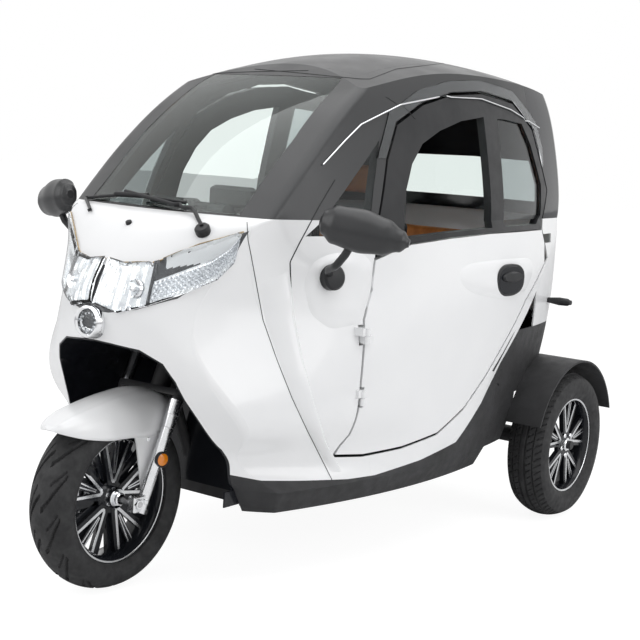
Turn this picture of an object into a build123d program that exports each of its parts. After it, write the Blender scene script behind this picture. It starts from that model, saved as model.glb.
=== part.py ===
from build123d import *
import math
import os

os.makedirs("parts", exist_ok=True)

# Driving dimensions, in millimetres; lengths along the car are taken from the front axle
FRONT_AXLE_Y = -833.0
WHEELBASE = 1634.0
FRONT_TYRE_R = 243.0
FRONT_TYRE_W = 130.0
FRONT_RIM_R = 170.0
REAR_TYRE_R = 247.0
REAR_TYRE_W = 135.0
REAR_RIM_R = 160.0
REAR_TYRE_X = 503.0
RAKE = 24.0
FORK_OFFSET = 55.0
LEG_OFFSET = 28.0
LEG_X = 96.0
LEG_R = 19.0
TUBE_R = 15.0
STEM_R = 14.0
SEAT = 0.3
LINING = 1.2
DOOR_GAP = 8.0
SKIN = 5.0
PILLAR = 26.0
DOOR_T = 26.0
ROOF_T = 8.0
GLASS_DROP = 1.0
GLASS_T = 4.0
BELT_Z = 1000.0
SIDE_END_Y = 592.0
HINGE_Y = 508.0
HINGE_X = 446.0
HINGE_R = 7.0
HINGE_PIN_R = 3.5
HINGE_ZS = (520.0, 690.0)
HINGE_LEN = 44.0
HINGE_KNUCKLE_GAP = 0.5
RUNNING = 0.06

# Body sections: height, front middle, front corner x and y, side x and y, rear corner x and y, rear middle
LOW = (
    (280, 120, 370, 260, 465, 900, 400, 1500, 1560),
    (450, 30, 335, 140, 478, 900, 410, 1620, 1700),
    (600, -45, 285, 40, 487, 900, 410, 1680, 1760),
    (750, -88, 232, 42, 485, 900, 405, 1720, 1800),
    (880, -35, 275, 100, 472, 900, 400, 1735, 1820),
    (965, 35, 318, 130, 462, 900, 392, 1750, 1840),
    (1000, 106, 345, 180, 455, 900, 385, 1760, 1850),
)
HIGH = (
    (1000, 106, 345, 180, 455, 900, 385, 1760, 1850),
    (1130, 250, 345, 305, 437, 950, 377, 1760, 1850),
    (1270, 415, 335, 462, 408, 1000, 362, 1730, 1815),
    (1380, 590, 315, 625, 378, 1050, 348, 1680, 1770),
    (1450, 735, 290, 765, 350, 1080, 330, 1625, 1715),
    (1500, 860, 260, 880, 325, 1100, 312, 1560, 1650),
)
LONG_STEPS = 5
SHORT_STEPS = 2
MIN_FILLET = 3.0
FRONT_FILLET = 40.0
REAR_FILLET = 75.0
ROOF_TOP_Z = 1490.0
ROOF_LINE = (
    (-300, 1150), (200, 1300), (653, 1418), (800, 1452), (981, 1480), (1150, 1490), (1350, 1488), (1577, 1470),
    (1750, 1440), (2250, 1320),
)
ROOF_R_WIDE = 1200.0

# Outlines seen from the side: distance behind the front axle, height
COWL_SEAM = (
    (150, 1100), (139, 1000), (133, 946), (157, 907), (211, 738), (236, 636), (269, 537), (332, 445),
    (427, 347), (444, 280),
)
DOOR = (
    (561, 892), (640, 918), (703, 934), (884, 949), (1115, 960), (1535, 964), (1590, 872),
    (1500, 822), (1371, 745), (1259, 645), (1124, 520), (1013, 437), (881, 378), (720, 356),
    (567, 350), (470, 358), (500, 413), (505, 480), (511, 568), (524, 660), (527, 730), (556, 811),
)
FRAME = (
    (564, 900), (568, 1016), (624, 1165), (688, 1263), (822, 1325), (979, 1364), (1148, 1379), (1343, 1362),
    (1480, 1286), (1590, 1094), (1535, 967.5), (1115, 963.5), (884, 952.5), (703, 937.5), (640, 921.5),
)
FRAME_HOLE = (
    (664, 953), (687, 1085), (727, 1158), (787, 1216), (881, 1257), (1000, 1291), (1133, 1310), (1281, 1310),
    (1398, 1303), (1460, 1238), (1536, 1111), (1531, 1013), (1485, 984), (1115, 978), (884, 968),
)
DIVIDER_Y = (1135.0, 1222.0)
QUARTER = ((303, 957), (455, 1093), (599, 1217), (548, 1082), (517, 968), (420, 958))
BOTTOM_EDGE = (
    (-400, 345), (100, 335), (167, 326), (234, 310), (342, 301), (412, 296), (501, 289), (607, 287), (813, 303),
    (997, 332), (1130, 437), (1233, 556), (1376, 680), (1500, 785), (1610, 862), (1640, 905),
)
TUB_TOP = 650.0
SILL_END_Y = 1225.0
SILL_Z = 218.0
SILL_IN = 32.0
LINER_T = 4.0
FLOOR_Z = 240.0
FLOOR_T = 12.0
WALL_Y = 400.0
WALL_T = 8.0
SHELF_Z = 520.0
NECK_R = 16.0
CLAMP_S = 398.0
NECK_TOP = (0, 208, 560)
NECK_FOOT = (0, 352, 225)
MIRROR_TURN = 24.0
MIRROR_C = (575, 300, 985)
LAMP = ((0, 856), (60, 860), (130, 876), (220, 915), (316, 969), (280, 880), (200, 790), (120, 756), (52, 742), (0, 742))
ARCH = ((0, 667), (50, 664), (130, 655), (185, 625), (208, 580), (219, 532), (247, 453), (269, 398), (272, 326), (272, 180))
SCREEN = ((0, 1004), (264, 1004), (262, 1069), (264, 1204), (245, 1356), (231, 1384), (0, 1384))
REAR_GLASS = ((0, 1045), (270, 1045), (292, 1070), (280, 1165), (245, 1185), (0, 1190))
ROUND_LAMP_Z = 711.0
ROUND_LAMP_R = 42.0


def along(y):
    return FRONT_AXLE_Y + y


def side_prism(points, x0, x1, grow=0.0):
    face = make_face(Polyline([(along(y), z) for y, z in points], close=True))
    if grow:
        face = offset(face, grow, kind=Kind.INTERSECTION)
    return Pos(x0, 0, 0) * extrude(Plane.YZ * face, x1 - x0)


def front_prism(points, y0, y1, grow=0.0):
    pairs = list(points) + [(-x, z) for x, z in reversed(points) if x > 0]
    face = make_face(Polyline(pairs, close=True))
    if grow:
        face = offset(face, grow, kind=Kind.INTERSECTION)
    return Pos(0, along(y1), 0) * extrude(Plane.XZ * face, y1 - y0)


def block(x0, x1, y0, y1, z0, z1):
    return Pos((x0 + x1) / 2, along((y0 + y1) / 2), (z0 + z1) / 2) * Box(x1 - x0, y1 - y0, z1 - z0)


def rod(a, b, r):
    a = Vector(a[0], along(a[1]), a[2])
    b = Vector(b[0], along(b[1]), b[2])
    d = b - a
    return extrude(Plane(origin=a, z_dir=d) * Circle(r), d.length)


def pair(solid):
    """Both sides, where they meet on the middle plane."""
    return solid + mirror(solid, about=Plane.YZ)


def twin(solid):
    """Both sides as separate solids."""
    return Compound(list(solid.solids()) + list(mirror(solid, about=Plane.YZ).solids()))


def circle_through(a, b, c):
    """Centre and radius of the circle through three points."""
    d = 2 * (a[0] * (b[1] - c[1]) + b[0] * (c[1] - a[1]) + c[0] * (a[1] - b[1]))
    sa, sb, sc = (p[0] ** 2 + p[1] ** 2 for p in (a, b, c))
    x = (sa * (b[1] - c[1]) + sb * (c[1] - a[1]) + sc * (a[1] - b[1])) / d
    y = (sa * (c[0] - b[0]) + sb * (a[0] - c[0]) + sc * (b[0] - a[0])) / d
    return (x, y), math.hypot(a[0] - x, a[1] - y)


def circles_meet(c1, r1, c2, r2, near):
    """The crossing of two circles that lies nearest a point."""
    dx, dy = c2[0] - c1[0], c2[1] - c1[1]
    d = math.hypot(dx, dy)
    a = (r1 ** 2 - r2 ** 2 + d ** 2) / (2 * d)
    h = math.sqrt(max(r1 ** 2 - a ** 2, 0.0))
    mx, my = c1[0] + a * dx / d, c1[1] + a * dy / d
    options = [(mx + h * dy / d, my - h * dx / d), (mx - h * dy / d, my + h * dx / d)]
    return min(options, key=lambda p: math.hypot(p[0] - near[0], p[1] - near[1]))


def cubic_arc(centre, r, start, end):
    """A light cubic curve along a circle, the short way from start to end."""
    a0 = math.atan2(start[1] - centre[1], start[0] - centre[0])
    a1 = math.atan2(end[1] - centre[1], end[0] - centre[0])
    sweep = (a1 - a0 + math.pi) % (2 * math.pi) - math.pi
    steps = LONG_STEPS if r > 150 else SHORT_STEPS
    points = []
    for k in range(steps + 1):
        a = a0 + sweep * k / steps
        points.append(Vector(centre[0] + r * math.cos(a), centre[1] + r * math.sin(a), 0))
    points[0] = Vector(start[0], start[1], 0)
    points[-1] = Vector(end[0], end[1], 0)
    sign = 1 if sweep > 0 else -1
    t0 = Vector(-sign * math.sin(a0), sign * math.cos(a0), 0)
    t1 = Vector(-sign * math.sin(a0 + sweep), sign * math.cos(a0 + sweep), 0)
    return Edge.make_spline(points, tangents=[t0, t1])


def on_circle(centre, r, towards):
    d = math.hypot(towards[0] - centre[0], towards[1] - centre[1])
    return (centre[0] + r * (towards[0] - centre[0]) / d, centre[1] + r * (towards[1] - centre[1]) / d)


def section(row, inset):
    """One cross section: arcs with filleted corners, all moved inwards by inset."""
    z, yf, xf, yfc, xs, ys, xr, yrc, yb = row
    c1, r1 = circle_through((-xf, along(yfc)), (0, along(yf)), (xf, along(yfc)))
    c2, r2 = circle_through((xf, along(yfc)), (xs, along(ys)), (xr, along(yrc)))
    c3, r3 = circle_through((xr, along(yrc)), (0, along(yb)), (-xr, along(yrc)))
    q1 = max(FRONT_FILLET - inset, MIN_FILLET)
    q3 = max(REAR_FILLET - inset, MIN_FILLET)
    r1, r2, r3 = r1 - inset, r2 - inset, r3 - inset
    f1 = circles_meet(c1, r1 - q1, c2, r2 - q1, (xf, along(yfc)))
    f3 = circles_meet(c2, r2 - q3, c3, r3 - q3, (xr, along(yrc)))
    a = on_circle(c1, r1, f1)
    b = on_circle(c2, r2, f1)
    c = on_circle(c2, r2, f3)
    d = on_circle(c3, r3, f3)
    other = [(-p[0], p[1]) for p in (a, b, c, d)]
    mirror_c2 = (-c2[0], c2[1])
    curves = [
        cubic_arc(c1, r1, other[0], a),
        cubic_arc(f1, q1, a, b),
        cubic_arc(c2, r2, b, c),
        cubic_arc(f3, q3, c, d),
        cubic_arc(c3, r3, d, other[3]),
        cubic_arc((-f3[0], f3[1]), q3, other[3], other[2]),
        cubic_arc(mirror_c2, r2, other[2], other[1]),
        cubic_arc((-f1[0], f1[1]), q1, other[1], other[0]),
    ]
    return Pos(0, 0, z) * Face(Wire(curves))


def dome(drop):
    """The roof's crown: a long profile turned about a low axis along the car."""
    points = [(along(y), z - drop) for y, z in ROOF_LINE]
    base = ROOF_TOP_Z - drop - ROOF_R_WIDE
    first, last = points[0], points[-1]
    edges = [
        Spline(points),
        Line(last, (last[0], base)),
        Line((last[0], base), (first[0], base)),
        Line((first[0], base), first),
    ]
    face = Plane.YZ * make_face(edges)
    axis = Axis((0, 0, base), (0, 1, 0))
    return revolve(face, axis, 180) + revolve(face, axis, -180)


BODIES = {}


def body(inset):
    if inset not in BODIES:
        low = loft([section(row, inset) for row in LOW])
        high = loft([section(row, inset) for row in HIGH]) & dome(inset)
        BODIES[inset] = (low, high)
    return BODIES[inset]


SKINS = {}


def low_skin(outer, inner):
    if (0, outer, inner) not in SKINS:
        SKINS[0, outer, inner] = body(outer)[0] - body(inner)[0]
    return SKINS[0, outer, inner]


def high_skin(outer, inner):
    if (1, outer, inner) not in SKINS:
        SKINS[1, outer, inner] = body(outer)[1] - body(inner)[1]
    return SKINS[1, outer, inner]


def half_skin(level, outer, inner, y0=-400, y1=2200):
    """The left half of a skin between two stations, kept so that later pieces reuse it."""
    key = (level, outer, inner, y0, y1)
    if key not in SKINS:
        whole = high_skin(outer, inner) if level else low_skin(outer, inner)
        SKINS[key] = whole & block(0, 800, y0, y1, 100, 1700)
    return SKINS[key]


def steer_point(s, ahead=0.0, x=0.0):
    """Point s up the steering axis from the axle's foot on it, ahead of it by ahead."""
    a = math.radians(RAKE)
    y = math.cos(a) * (FORK_OFFSET - ahead) + math.sin(a) * s
    z = FRONT_TYRE_R - math.sin(a) * (FORK_OFFSET - ahead) + math.cos(a) * s
    return (x, y, z)


def steer_rod(s0, s1, r, ahead=0.0, x=0.0):
    return rod(steer_point(s0, ahead, x), steer_point(s1, ahead, x), r)


# Cutting regions
def ahead_of_seam(shift, x0=-700):
    pts = [(-400, 1100)] + [(y + shift, z) for y, z in COWL_SEAM] + [(392 + shift, 100), (-400, 100)]
    return side_prism(pts, x0, 700)


def door_region(grow):
    return side_prism(DOOR, 0, 700, grow)


def below_edge(grow=0.0):
    """Everything under the white panels' lower edge."""
    pts = list(BOTTOM_EDGE) + [(1640, 100), (-400, 100)]
    return side_prism(pts, 0, 700, grow)


def front_cowl():
    s = half_skin(0, 0, SKIN, -400, 470) & ahead_of_seam(-SEAT / 2, 0)
    s -= front_prism(ARCH, -300, 330)
    s -= front_prism(LAMP, -300, 160)
    s -= below_edge(SEAT)
    lamp = Pos(0, along(60), ROUND_LAMP_Z) * Rot(90, 0, 0) * Cylinder(ROUND_LAMP_R, 400)
    return pair(s - lamp)


def headlamps():
    s = half_skin(0, 1, 40, -400, 170) & front_prism(LAMP, -300, 159, -SEAT)
    s = pair(s & ahead_of_seam(-SEAT, 0))
    lamp = Pos(0, along(-70), ROUND_LAMP_Z) * Rot(90, 0, 0) * Cylinder(ROUND_LAMP_R - SEAT, 60)
    lamp = lamp & body(-6)[0]
    return s + lamp


def side_panels():
    s = half_skin(0, 0, SKIN, 100, SIDE_END_Y) - ahead_of_seam(SEAT / 2, 0)
    s -= door_region(DOOR_GAP)
    s -= below_edge(SEAT)
    s -= side_prism(FRAME, 0, 700, DOOR_GAP)
    s -= side_prism(QUARTER, 0, 700)
    for z in HINGE_ZS:
        s -= hinge_room(z, -6, 36)
        s += hinge_knuckle(z + HINGE_LEN / 4 + HINGE_KNUCKLE_GAP / 2, HINGE_LEN / 2 - HINGE_KNUCKLE_GAP, -20)
        s += hinge_pin(z)
    return twin(s)


def hinge_room(z, ahead, behind):
    """Space left round a hinge, from ahead of the pin to behind it."""
    half = HINGE_LEN / 2 + 6
    return block(HINGE_X - 60, HINGE_X + 30, HINGE_Y + ahead, HINGE_Y + behind, z - half, z + half)


def hinge_knuckle(z, length, reach):
    barrel = Pos(HINGE_X, along(HINGE_Y), z) * Cylinder(HINGE_R, length)
    y0, y1 = sorted((HINGE_Y, HINGE_Y + reach))
    leaf = block(HINGE_X - 34, HINGE_X - 1, y0, y1, z - length / 2, z + length / 2)
    leaf -= Pos(HINGE_X, along(HINGE_Y), z) * Cylinder(HINGE_PIN_R, length)
    return barrel + leaf


def hinge_pin(z):
    return Pos(HINGE_X, along(HINGE_Y), z) * Cylinder(HINGE_PIN_R, HINGE_LEN)


def door_panel():
    s = half_skin(0, 0, DOOR_T, 350, 1560) & door_region(0)
    for z in HINGE_ZS:
        s -= hinge_room(z, -36, 12)
        k = hinge_knuckle(z - HINGE_LEN / 4 - HINGE_KNUCKLE_GAP / 2, HINGE_LEN / 2 - HINGE_KNUCKLE_GAP, 34)
        s += k - Pos(HINGE_X, along(HINGE_Y), z) * Cylinder(HINGE_PIN_R + RUNNING, HINGE_LEN + 4)
    return s


def door_frame():
    whole = half_skin(1, 0, DOOR_T, 470, 1600) + (half_skin(0, 0, DOOR_T, 350, 1560) & block(0, 700, 400, 1600, 880, 1000))
    s = whole & (side_prism(FRAME, 0, 700) - side_prism(DOOR, 0, 700, SEAT))
    hole = side_prism(FRAME_HOLE, 0, 700) - block(0, 700, DIVIDER_Y[0], DIVIDER_Y[1], 900, 1500)
    return s - hole


def door_glass():
    whole = half_skin(1, 8, 12, 1200, 1600)
    s = whole & side_prism(FRAME_HOLE, 0, 700, -SEAT)
    return s & block(0, 700, DIVIDER_Y[1] + SEAT, 1700, 990, 1500)


def lower_bands():
    s = half_skin(0, 0, SKIN, SIDE_END_Y + SEAT, 1640) & block(0, 700, 300, 1640, 280, 950)
    s -= door_region(DOOR_GAP)
    s -= below_edge(SEAT)
    s -= side_prism(FRAME, 0, 700, DOOR_GAP)
    s -= block(0, 700, 1400, 1700, 920, 1000)
    return twin(s)


def sills():
    """The dark skirt: a ring under the body and the strip of wall below the white panels."""
    top = section(LOW[0], 0)
    low = Pos(0, 0, SILL_Z - LOW[0][0]) * section(LOW[0], SILL_IN)
    inner = extrude(section(LOW[0], 58), SILL_Z - LOW[0][0])
    ring = (loft([low, top]) - inner) & block(0, 700, 150, SILL_END_Y, 200, 300)
    strip = half_skin(0, 0, SKIN, -400, SILL_END_Y) & below_edge(0)
    s = ring + (strip & block(0, 700, 150, SILL_END_Y, 279, 600))
    s -= front_prism(ARCH, -300, 330)
    return twin(s)


def floor_tub():
    outline = extrude(section(LOW[0], 58 + SEAT), 60)
    s = outline & block(-700, 700, 310, SILL_END_Y, LOW[0][0], LOW[0][0] + 50)
    s = Pos(0, 0, FLOOR_Z - LOW[0][0]) * s
    s &= block(-700, 700, 310, SILL_END_Y, FLOOR_Z, FLOOR_Z + FLOOR_T)
    low_wall = block(-300, 300, WALL_Y, WALL_Y + WALL_T, FLOOR_Z, LOW[0][0] + 40)
    high_wall = body(SKIN + LINING)[0] & block(-700, 700, WALL_Y, WALL_Y + WALL_T, LOW[0][0] + 12, 850)
    high_wall -= twin(below_edge(SKIN))
    rear_wall = block(-300, 300, 1213, SILL_END_Y, FLOOR_Z, SHELF_Z + FLOOR_T)
    shelf = block(-340, 340, 1213, 1640, SHELF_Z, SHELF_Z + FLOOR_T)
    s += low_wall + high_wall + rear_wall + shelf
    return s - rod(NECK_TOP, NECK_FOOT, NECK_R + SEAT)


def arch_liner():
    """The wheel arch: a tunnel behind the arch's edge, closed at its back."""
    outer = front_prism(ARCH, -200, 400, -SEAT)
    inner = front_prism(ARCH, -200, 400, -SEAT - LINER_T)
    room = side_prism(((-200, 240), (300, 240), (300, 470), (380, 630), (380, 700), (-200, 700)), -400, 400)
    keep = side_prism(((-200, 240), (304, 240), (304, 469), (384, 629), (384, 700), (-200, 700)), -400, 400)
    s = (outer & keep) - (inner & room)
    s = s & (body(0)[0] + block(-400, 400, 150, 400, 240, 281))
    s -= steer_rod(440, 560, STEM_R + 12)
    return s - rod(NECK_TOP, NECK_FOOT, NECK_R + SEAT)


def rear_body():
    s = half_skin(0, 0, SKIN, 1300, 1900) & block(0, 700, 1300, 1900, TUB_TOP + SEAT, BELT_Z)
    s -= side_prism(((1300, 600), (1376, 680), (1500, 785), (1610, 862), (1640, 905), (1640, 950), (1300, 950)), 0, 700, SEAT)
    s -= door_region(DOOR_GAP)
    s -= side_prism(FRAME, 0, 700, DOOR_GAP)
    s = s & block(0, 700, 1480, 1900, 0, 2000)
    return pair(s)


def rear_tub():
    s = half_skin(0, 0, SKIN, 1000, 1900) & block(0, 700, SILL_END_Y + SEAT, 1900, 281, TUB_TOP)
    s &= below_edge(-SEAT) + block(0, 700, 1500, 1900, 200, 700)
    s -= Pos(500, along(WHEELBASE), REAR_TYRE_R) * Rot(0, 90, 0) * Cylinder(262, 230)
    s -= block(-1, 700, 1400, 1900, 200, 440)
    return pair(s)


def roof_region(grow=0.0):
    return block(-250 - grow, 250 + grow, 668 - grow, 1530 + grow, 1395, 1600)


def roof_panel():
    return high_skin(0, ROOF_T) & roof_region(-SEAT)


def windscreen():
    return high_skin(GLASS_DROP, GLASS_DROP + GLASS_T) & front_prism(SCREEN, -300, 760, -SEAT)


def pillars():
    s = half_skin(1, 0, PILLAR, -300, 1460) - roof_region()
    s -= front_prism(SCREEN, -300, 760)
    s -= side_prism(FRAME, 0, 700, DOOR_GAP)
    s -= side_prism(QUARTER, 0, 700)
    s &= block(0, 700, -300, 1460, BELT_Z + SEAT, 1600)
    return pair(s)


def quarter_glass():
    s = half_skin(1, GLASS_DROP, GLASS_DROP + GLASS_T, 250, 650) + half_skin(0, GLASS_DROP, GLASS_DROP + GLASS_T, 250, 650)
    return twin(s & side_prism(QUARTER, 0, 700, -SEAT))


def rear_frame():
    s = half_skin(1, 0, PILLAR, 1460 + SEAT, 2200) - roof_region()
    s -= side_prism(FRAME, 0, 700, DOOR_GAP)
    s -= front_prism(REAR_GLASS, 1600, 1950)
    s &= block(0, 700, 1460 + SEAT, 1950, BELT_Z + SEAT, 1600)
    return pair(s)


def rear_window():
    s = high_skin(GLASS_DROP, GLASS_DROP + GLASS_T) & front_prism(REAR_GLASS, 1600, 1950, -SEAT)
    return s


def chassis_frame():
    rails = pair(block(180, 220, 330, 1700, 195, FLOOR_Z - SEAT))
    cross = block(-220, 220, 330, 380, 200, FLOOR_Z - SEAT) + block(-220, 220, 1200, 1240, 200, FLOOR_Z - SEAT)
    head = steer_rod(322, CLAMP_S - 4, 27)
    neck = rod(NECK_TOP, NECK_FOOT, NECK_R)
    return rails + cross + head + neck - steer_rod(300, 450, STEM_R + RUNNING)


def steering_stem():
    return steer_rod(285, 860, STEM_R)


def fork():
    lower = pair(steer_rod(-30, 300, LEG_R, LEG_OFFSET, LEG_X))
    tubes = pair(steer_rod(300, CLAMP_S + 20, TUBE_R, LEG_OFFSET, LEG_X))
    a = Plane(origin=Vector(0, along(steer_point(300)[1]), steer_point(300)[2]), x_dir=(1, 0, 0),
              z_dir=(0, math.sin(math.radians(RAKE)), math.cos(math.radians(RAKE))))
    low = extrude(a * Pos(0, -LEG_OFFSET / 2, 0) * RectangleRounded(2 * LEG_X + 50, 74, 20), 18)
    b = Plane(origin=Vector(0, along(steer_point(CLAMP_S)[1]), steer_point(CLAMP_S)[2]), x_dir=(1, 0, 0),
              z_dir=a.z_dir)
    top = extrude(b * Pos(0, -LEG_OFFSET / 2, 0) * RectangleRounded(2 * LEG_X + 50, 74, 20), 16)
    s = lower + tubes + low + top - steer_rod(280, 500, STEM_R + SEAT)
    lug = pair(rod((LEG_X - 14, 0, FRONT_TYRE_R), (LEG_X + 14, 0, FRONT_TYRE_R), 17))
    link = pair(block(LEG_X - 12, LEG_X + 12, 0, 30, FRONT_TYRE_R - 16, FRONT_TYRE_R + 12))
    return s + lug + link - rod((-200, 0, FRONT_TYRE_R), (200, 0, FRONT_TYRE_R), 8)


def axle_front():
    return rod((-LEG_X - 20, 0, FRONT_TYRE_R), (LEG_X + 20, 0, FRONT_TYRE_R), 8 - 0.05)


def handlebar():
    top = steer_point(840)
    bar = rod((-300, top[1] + 60, top[2] + 10), (300, top[1] + 60, top[2] + 10), 12)
    clamp = rod((-30, top[1], top[2]), (30, top[1], top[2]), 24) + block(-15, 15, top[1], top[1] + 60, top[2] - 8, top[2] + 18)
    return bar + clamp - steer_rod(700, 900, STEM_R + SEAT)


def front_fender():
    shell = Pos(0, along(0), FRONT_TYRE_R) * Rot(0, 90, 0) * (Cylinder(284, 150) - Cylinder(279, 150))
    keep = side_prism(((0, 243), (-240, 330), (-260, 480), (-100, 640), (150, 560), (160, 480)), -200, 200)
    s = shell & keep
    strap = pair(block(70, 76.7, 20, 60, 400, 510))
    return s + strap


def tyre(r, w, bead):
    """A closed ring: flat bead, bulged walls, rounded shoulders and a crowned tread."""
    half = w / 2
    wall_r = (r + bead) / 2
    left = [
        Line((bead, -half + 12), (bead, half - 12)),
        ThreePointArc((bead, half - 12), (wall_r, half), (r - 20, half - 7)),
        ThreePointArc((r - 20, half - 7), (r, 0), (r - 20, -half + 7)),
        ThreePointArc((r - 20, -half + 7), (wall_r, -half), (bead, -half + 12)),
    ]
    return revolve(make_face(left), Axis.Y)


def place_wheel(solid, x, y, z):
    return Pos(x, along(y), z) * Rot(0, 0, 90) * solid


def rim(r, w, hub_r, hub_w, bore, face_y):
    half = w / 2 - 10
    barrel = Rot(90, 0, 0) * (Cylinder(r - SEAT, 2 * half) - Cylinder(r - 9, 2 * half))
    hub = Rot(90, 0, 0) * Cylinder(hub_r, hub_w)
    spokes = None
    for i in range(5):
        for da in (-9, 9):
            bar = Rot(0, 72 * i + da, 0) * Pos((r + hub_r) / 2 - 6, face_y, 0) * Box(r - hub_r + 6, 16, 13)
            spokes = bar if spokes is None else spokes + bar
    s = barrel + spokes + hub
    return s - Rot(90, 0, 0) * Cylinder(bore, 400)


def wheels():
    front_bore = 8 + RUNNING
    out = {}
    out["front_tyre"] = place_wheel(tyre(FRONT_TYRE_R, FRONT_TYRE_W, FRONT_RIM_R), 0, 0, FRONT_TYRE_R)
    out["front_rim"] = place_wheel(rim(FRONT_RIM_R, FRONT_TYRE_W - 20, 36, 120, front_bore, 0), 0, 0, FRONT_TYRE_R)
    for side, sign in (("left", 1), ("right", -1)):
        x = sign * REAR_TYRE_X
        out["rear_tyre_" + side] = place_wheel(tyre(REAR_TYRE_R, REAR_TYRE_W, REAR_RIM_R), x, WHEELBASE, REAR_TYRE_R)
        out["rear_rim_" + side] = place_wheel(
            rim(REAR_RIM_R, REAR_TYRE_W - 10, 38, 100, 14 + RUNNING, -sign * 30), x, WHEELBASE, REAR_TYRE_R)
    return out


def brake_disc():
    d = Rot(0, 90, 0) * (Cylinder(95, 4) - Cylinder(36.3, 4))
    return Pos(-56, along(0), FRONT_TYRE_R) * d


def rear_axle():
    beam = rod((-420, WHEELBASE, REAR_TYRE_R), (420, WHEELBASE, REAR_TYRE_R), 28)
    stub = rod((-565, WHEELBASE, REAR_TYRE_R), (565, WHEELBASE, REAR_TYRE_R), 14)
    motor = rod((-40, WHEELBASE, REAR_TYRE_R), (170, WHEELBASE, REAR_TYRE_R), 80)
    return beam + stub + motor - pair(block(180 - SEAT, 220 + SEAT, 1400, 1710, 195, FLOOR_Z))


def rear_shocks():
    s = rod((290, WHEELBASE - 30, 250), (290, WHEELBASE - 30, SHELF_Z - SEAT), 20)
    return twin(s - rod((0, WHEELBASE, REAR_TYRE_R), (400, WHEELBASE, REAR_TYRE_R), 28 + SEAT))


def rear_fenders():
    shell = Cylinder(290, 170) - Cylinder(284, 170)
    s = Pos(488, along(WHEELBASE), REAR_TYRE_R) * Rot(0, 90, 0) * shell
    s &= block(300, 700, 1300, 1950, 345, 600)
    inner = Pos(405, along(WHEELBASE), REAR_TYRE_R) * Rot(0, 90, 0) * (Cylinder(290, 5) - Cylinder(225, 5))
    inner &= block(300, 700, 1300, 1950, 345, 600)
    return twin(s + inner - body(-SEAT)[0])


def seat_base():
    return block(-200, 200, 700, 1140, FLOOR_Z + FLOOR_T + SEAT, 540)


def seat_cushions():
    return block(-210, 210, 680, 1060 - SEAT, 540 + SEAT, 620) + block(-330, 330, 1180, 1540, SHELF_Z + FLOOR_T + SEAT, 620)


def seat_backs():
    s = block(-200, 200, 1060, 1130, 540 + SEAT, 990)
    s += block(-110, 110, 1070, 1125, 1040, 1150)
    s += block(-12, 12, 1090, 1105, 985, 1045)
    s += block(-330, 330, 1540 + SEAT, 1610, SHELF_Z + FLOOR_T + SEAT, 960)
    return s


def dashboard():
    s = body(SKIN + LINING)[0] & block(-700, 700, 210, WALL_Y - SEAT, 850 + SEAT, 950)
    return s - steer_rod(600, 900, STEM_R + 8)


def wiper():
    return rod((0, 90, 1012), (200, 110, 1012), 6)


def mirrors():
    x, y, z = MIRROR_C
    shell = Pos(x, along(y), z) * Rot(0, 0, MIRROR_TURN) * Box(185, 86, 92)
    shell = fillet(shell.edges(), 30)
    stalk = rod((360, 368, 880), (515, 285, 950), 11)
    return twin(shell + (stalk - body(-SEAT)[0]))


def visors():
    ring = side_prism(FRAME, 0, 700, DOOR_GAP + 34) - side_prism(FRAME, 0, 700, DOOR_GAP + 2)
    s = half_skin(1, -4, -SEAT, 380, 1640) & ring
    return twin(s & block(0, 700, 380, 1560, 1170, 1500))


def tail_lamps():
    s = rod((370, 1640, 725), (513, 1640, 725), 8)
    return twin(s - body(-SEAT)[0])


def battery_block():
    return block(-180 + SEAT, 180 - SEAT, 700, 1180, 200, FLOOR_Z - SEAT)


def save(name, solid):
    solid.label = name
    export_step(solid, os.path.join("parts", name + ".step"))


def main():
    doors = {"panel": door_panel(), "frame": door_frame(), "glass": door_glass()}
    pieces = {
        "front_cowl": front_cowl(),
        "headlamps": headlamps(),
        "side_panels": side_panels(),
        "lower_bands": lower_bands(),
        "sills": sills(),
        "floor_tub": floor_tub(),
        "arch_liner": arch_liner(),
        "rear_body": rear_body(),
        "rear_tub": rear_tub(),
        "roof_panel": roof_panel(),
        "windscreen": windscreen(),
        "pillars": pillars(),
        "quarter_glass": quarter_glass(),
        "rear_frame": rear_frame(),
        "rear_window": rear_window(),
        "chassis_frame": chassis_frame(),
        "battery_block": battery_block(),
        "steering_stem": steering_stem(),
        "fork": fork(),
        "front_axle": axle_front(),
        "handlebar": handlebar(),
        "front_fender": front_fender(),
        "brake_disc": brake_disc(),
        "rear_axle": rear_axle(),
        "rear_shocks": rear_shocks(),
        "rear_fenders": rear_fenders(),
        "seat_base": seat_base(),
        "seat_cushions": seat_cushions(),
        "seat_backs": seat_backs(),
        "dashboard": dashboard(),
        "wiper": wiper(),
        "mirrors": mirrors(),
        "visors": visors(),
        "tail_lamps": tail_lamps(),
    }
    pieces.update(wheels())
    for key, solid in doors.items():
        pieces["door_" + key + "_left"] = solid
        pieces["door_" + key + "_right"] = mirror(solid, about=Plane.YZ)
    for name, solid in pieces.items():
        save(name, solid)


main()
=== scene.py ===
import bmesh
import bpy
import math
from mathutils import Matrix, Vector
from mathutils.bvhtree import BVHTree


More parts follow.
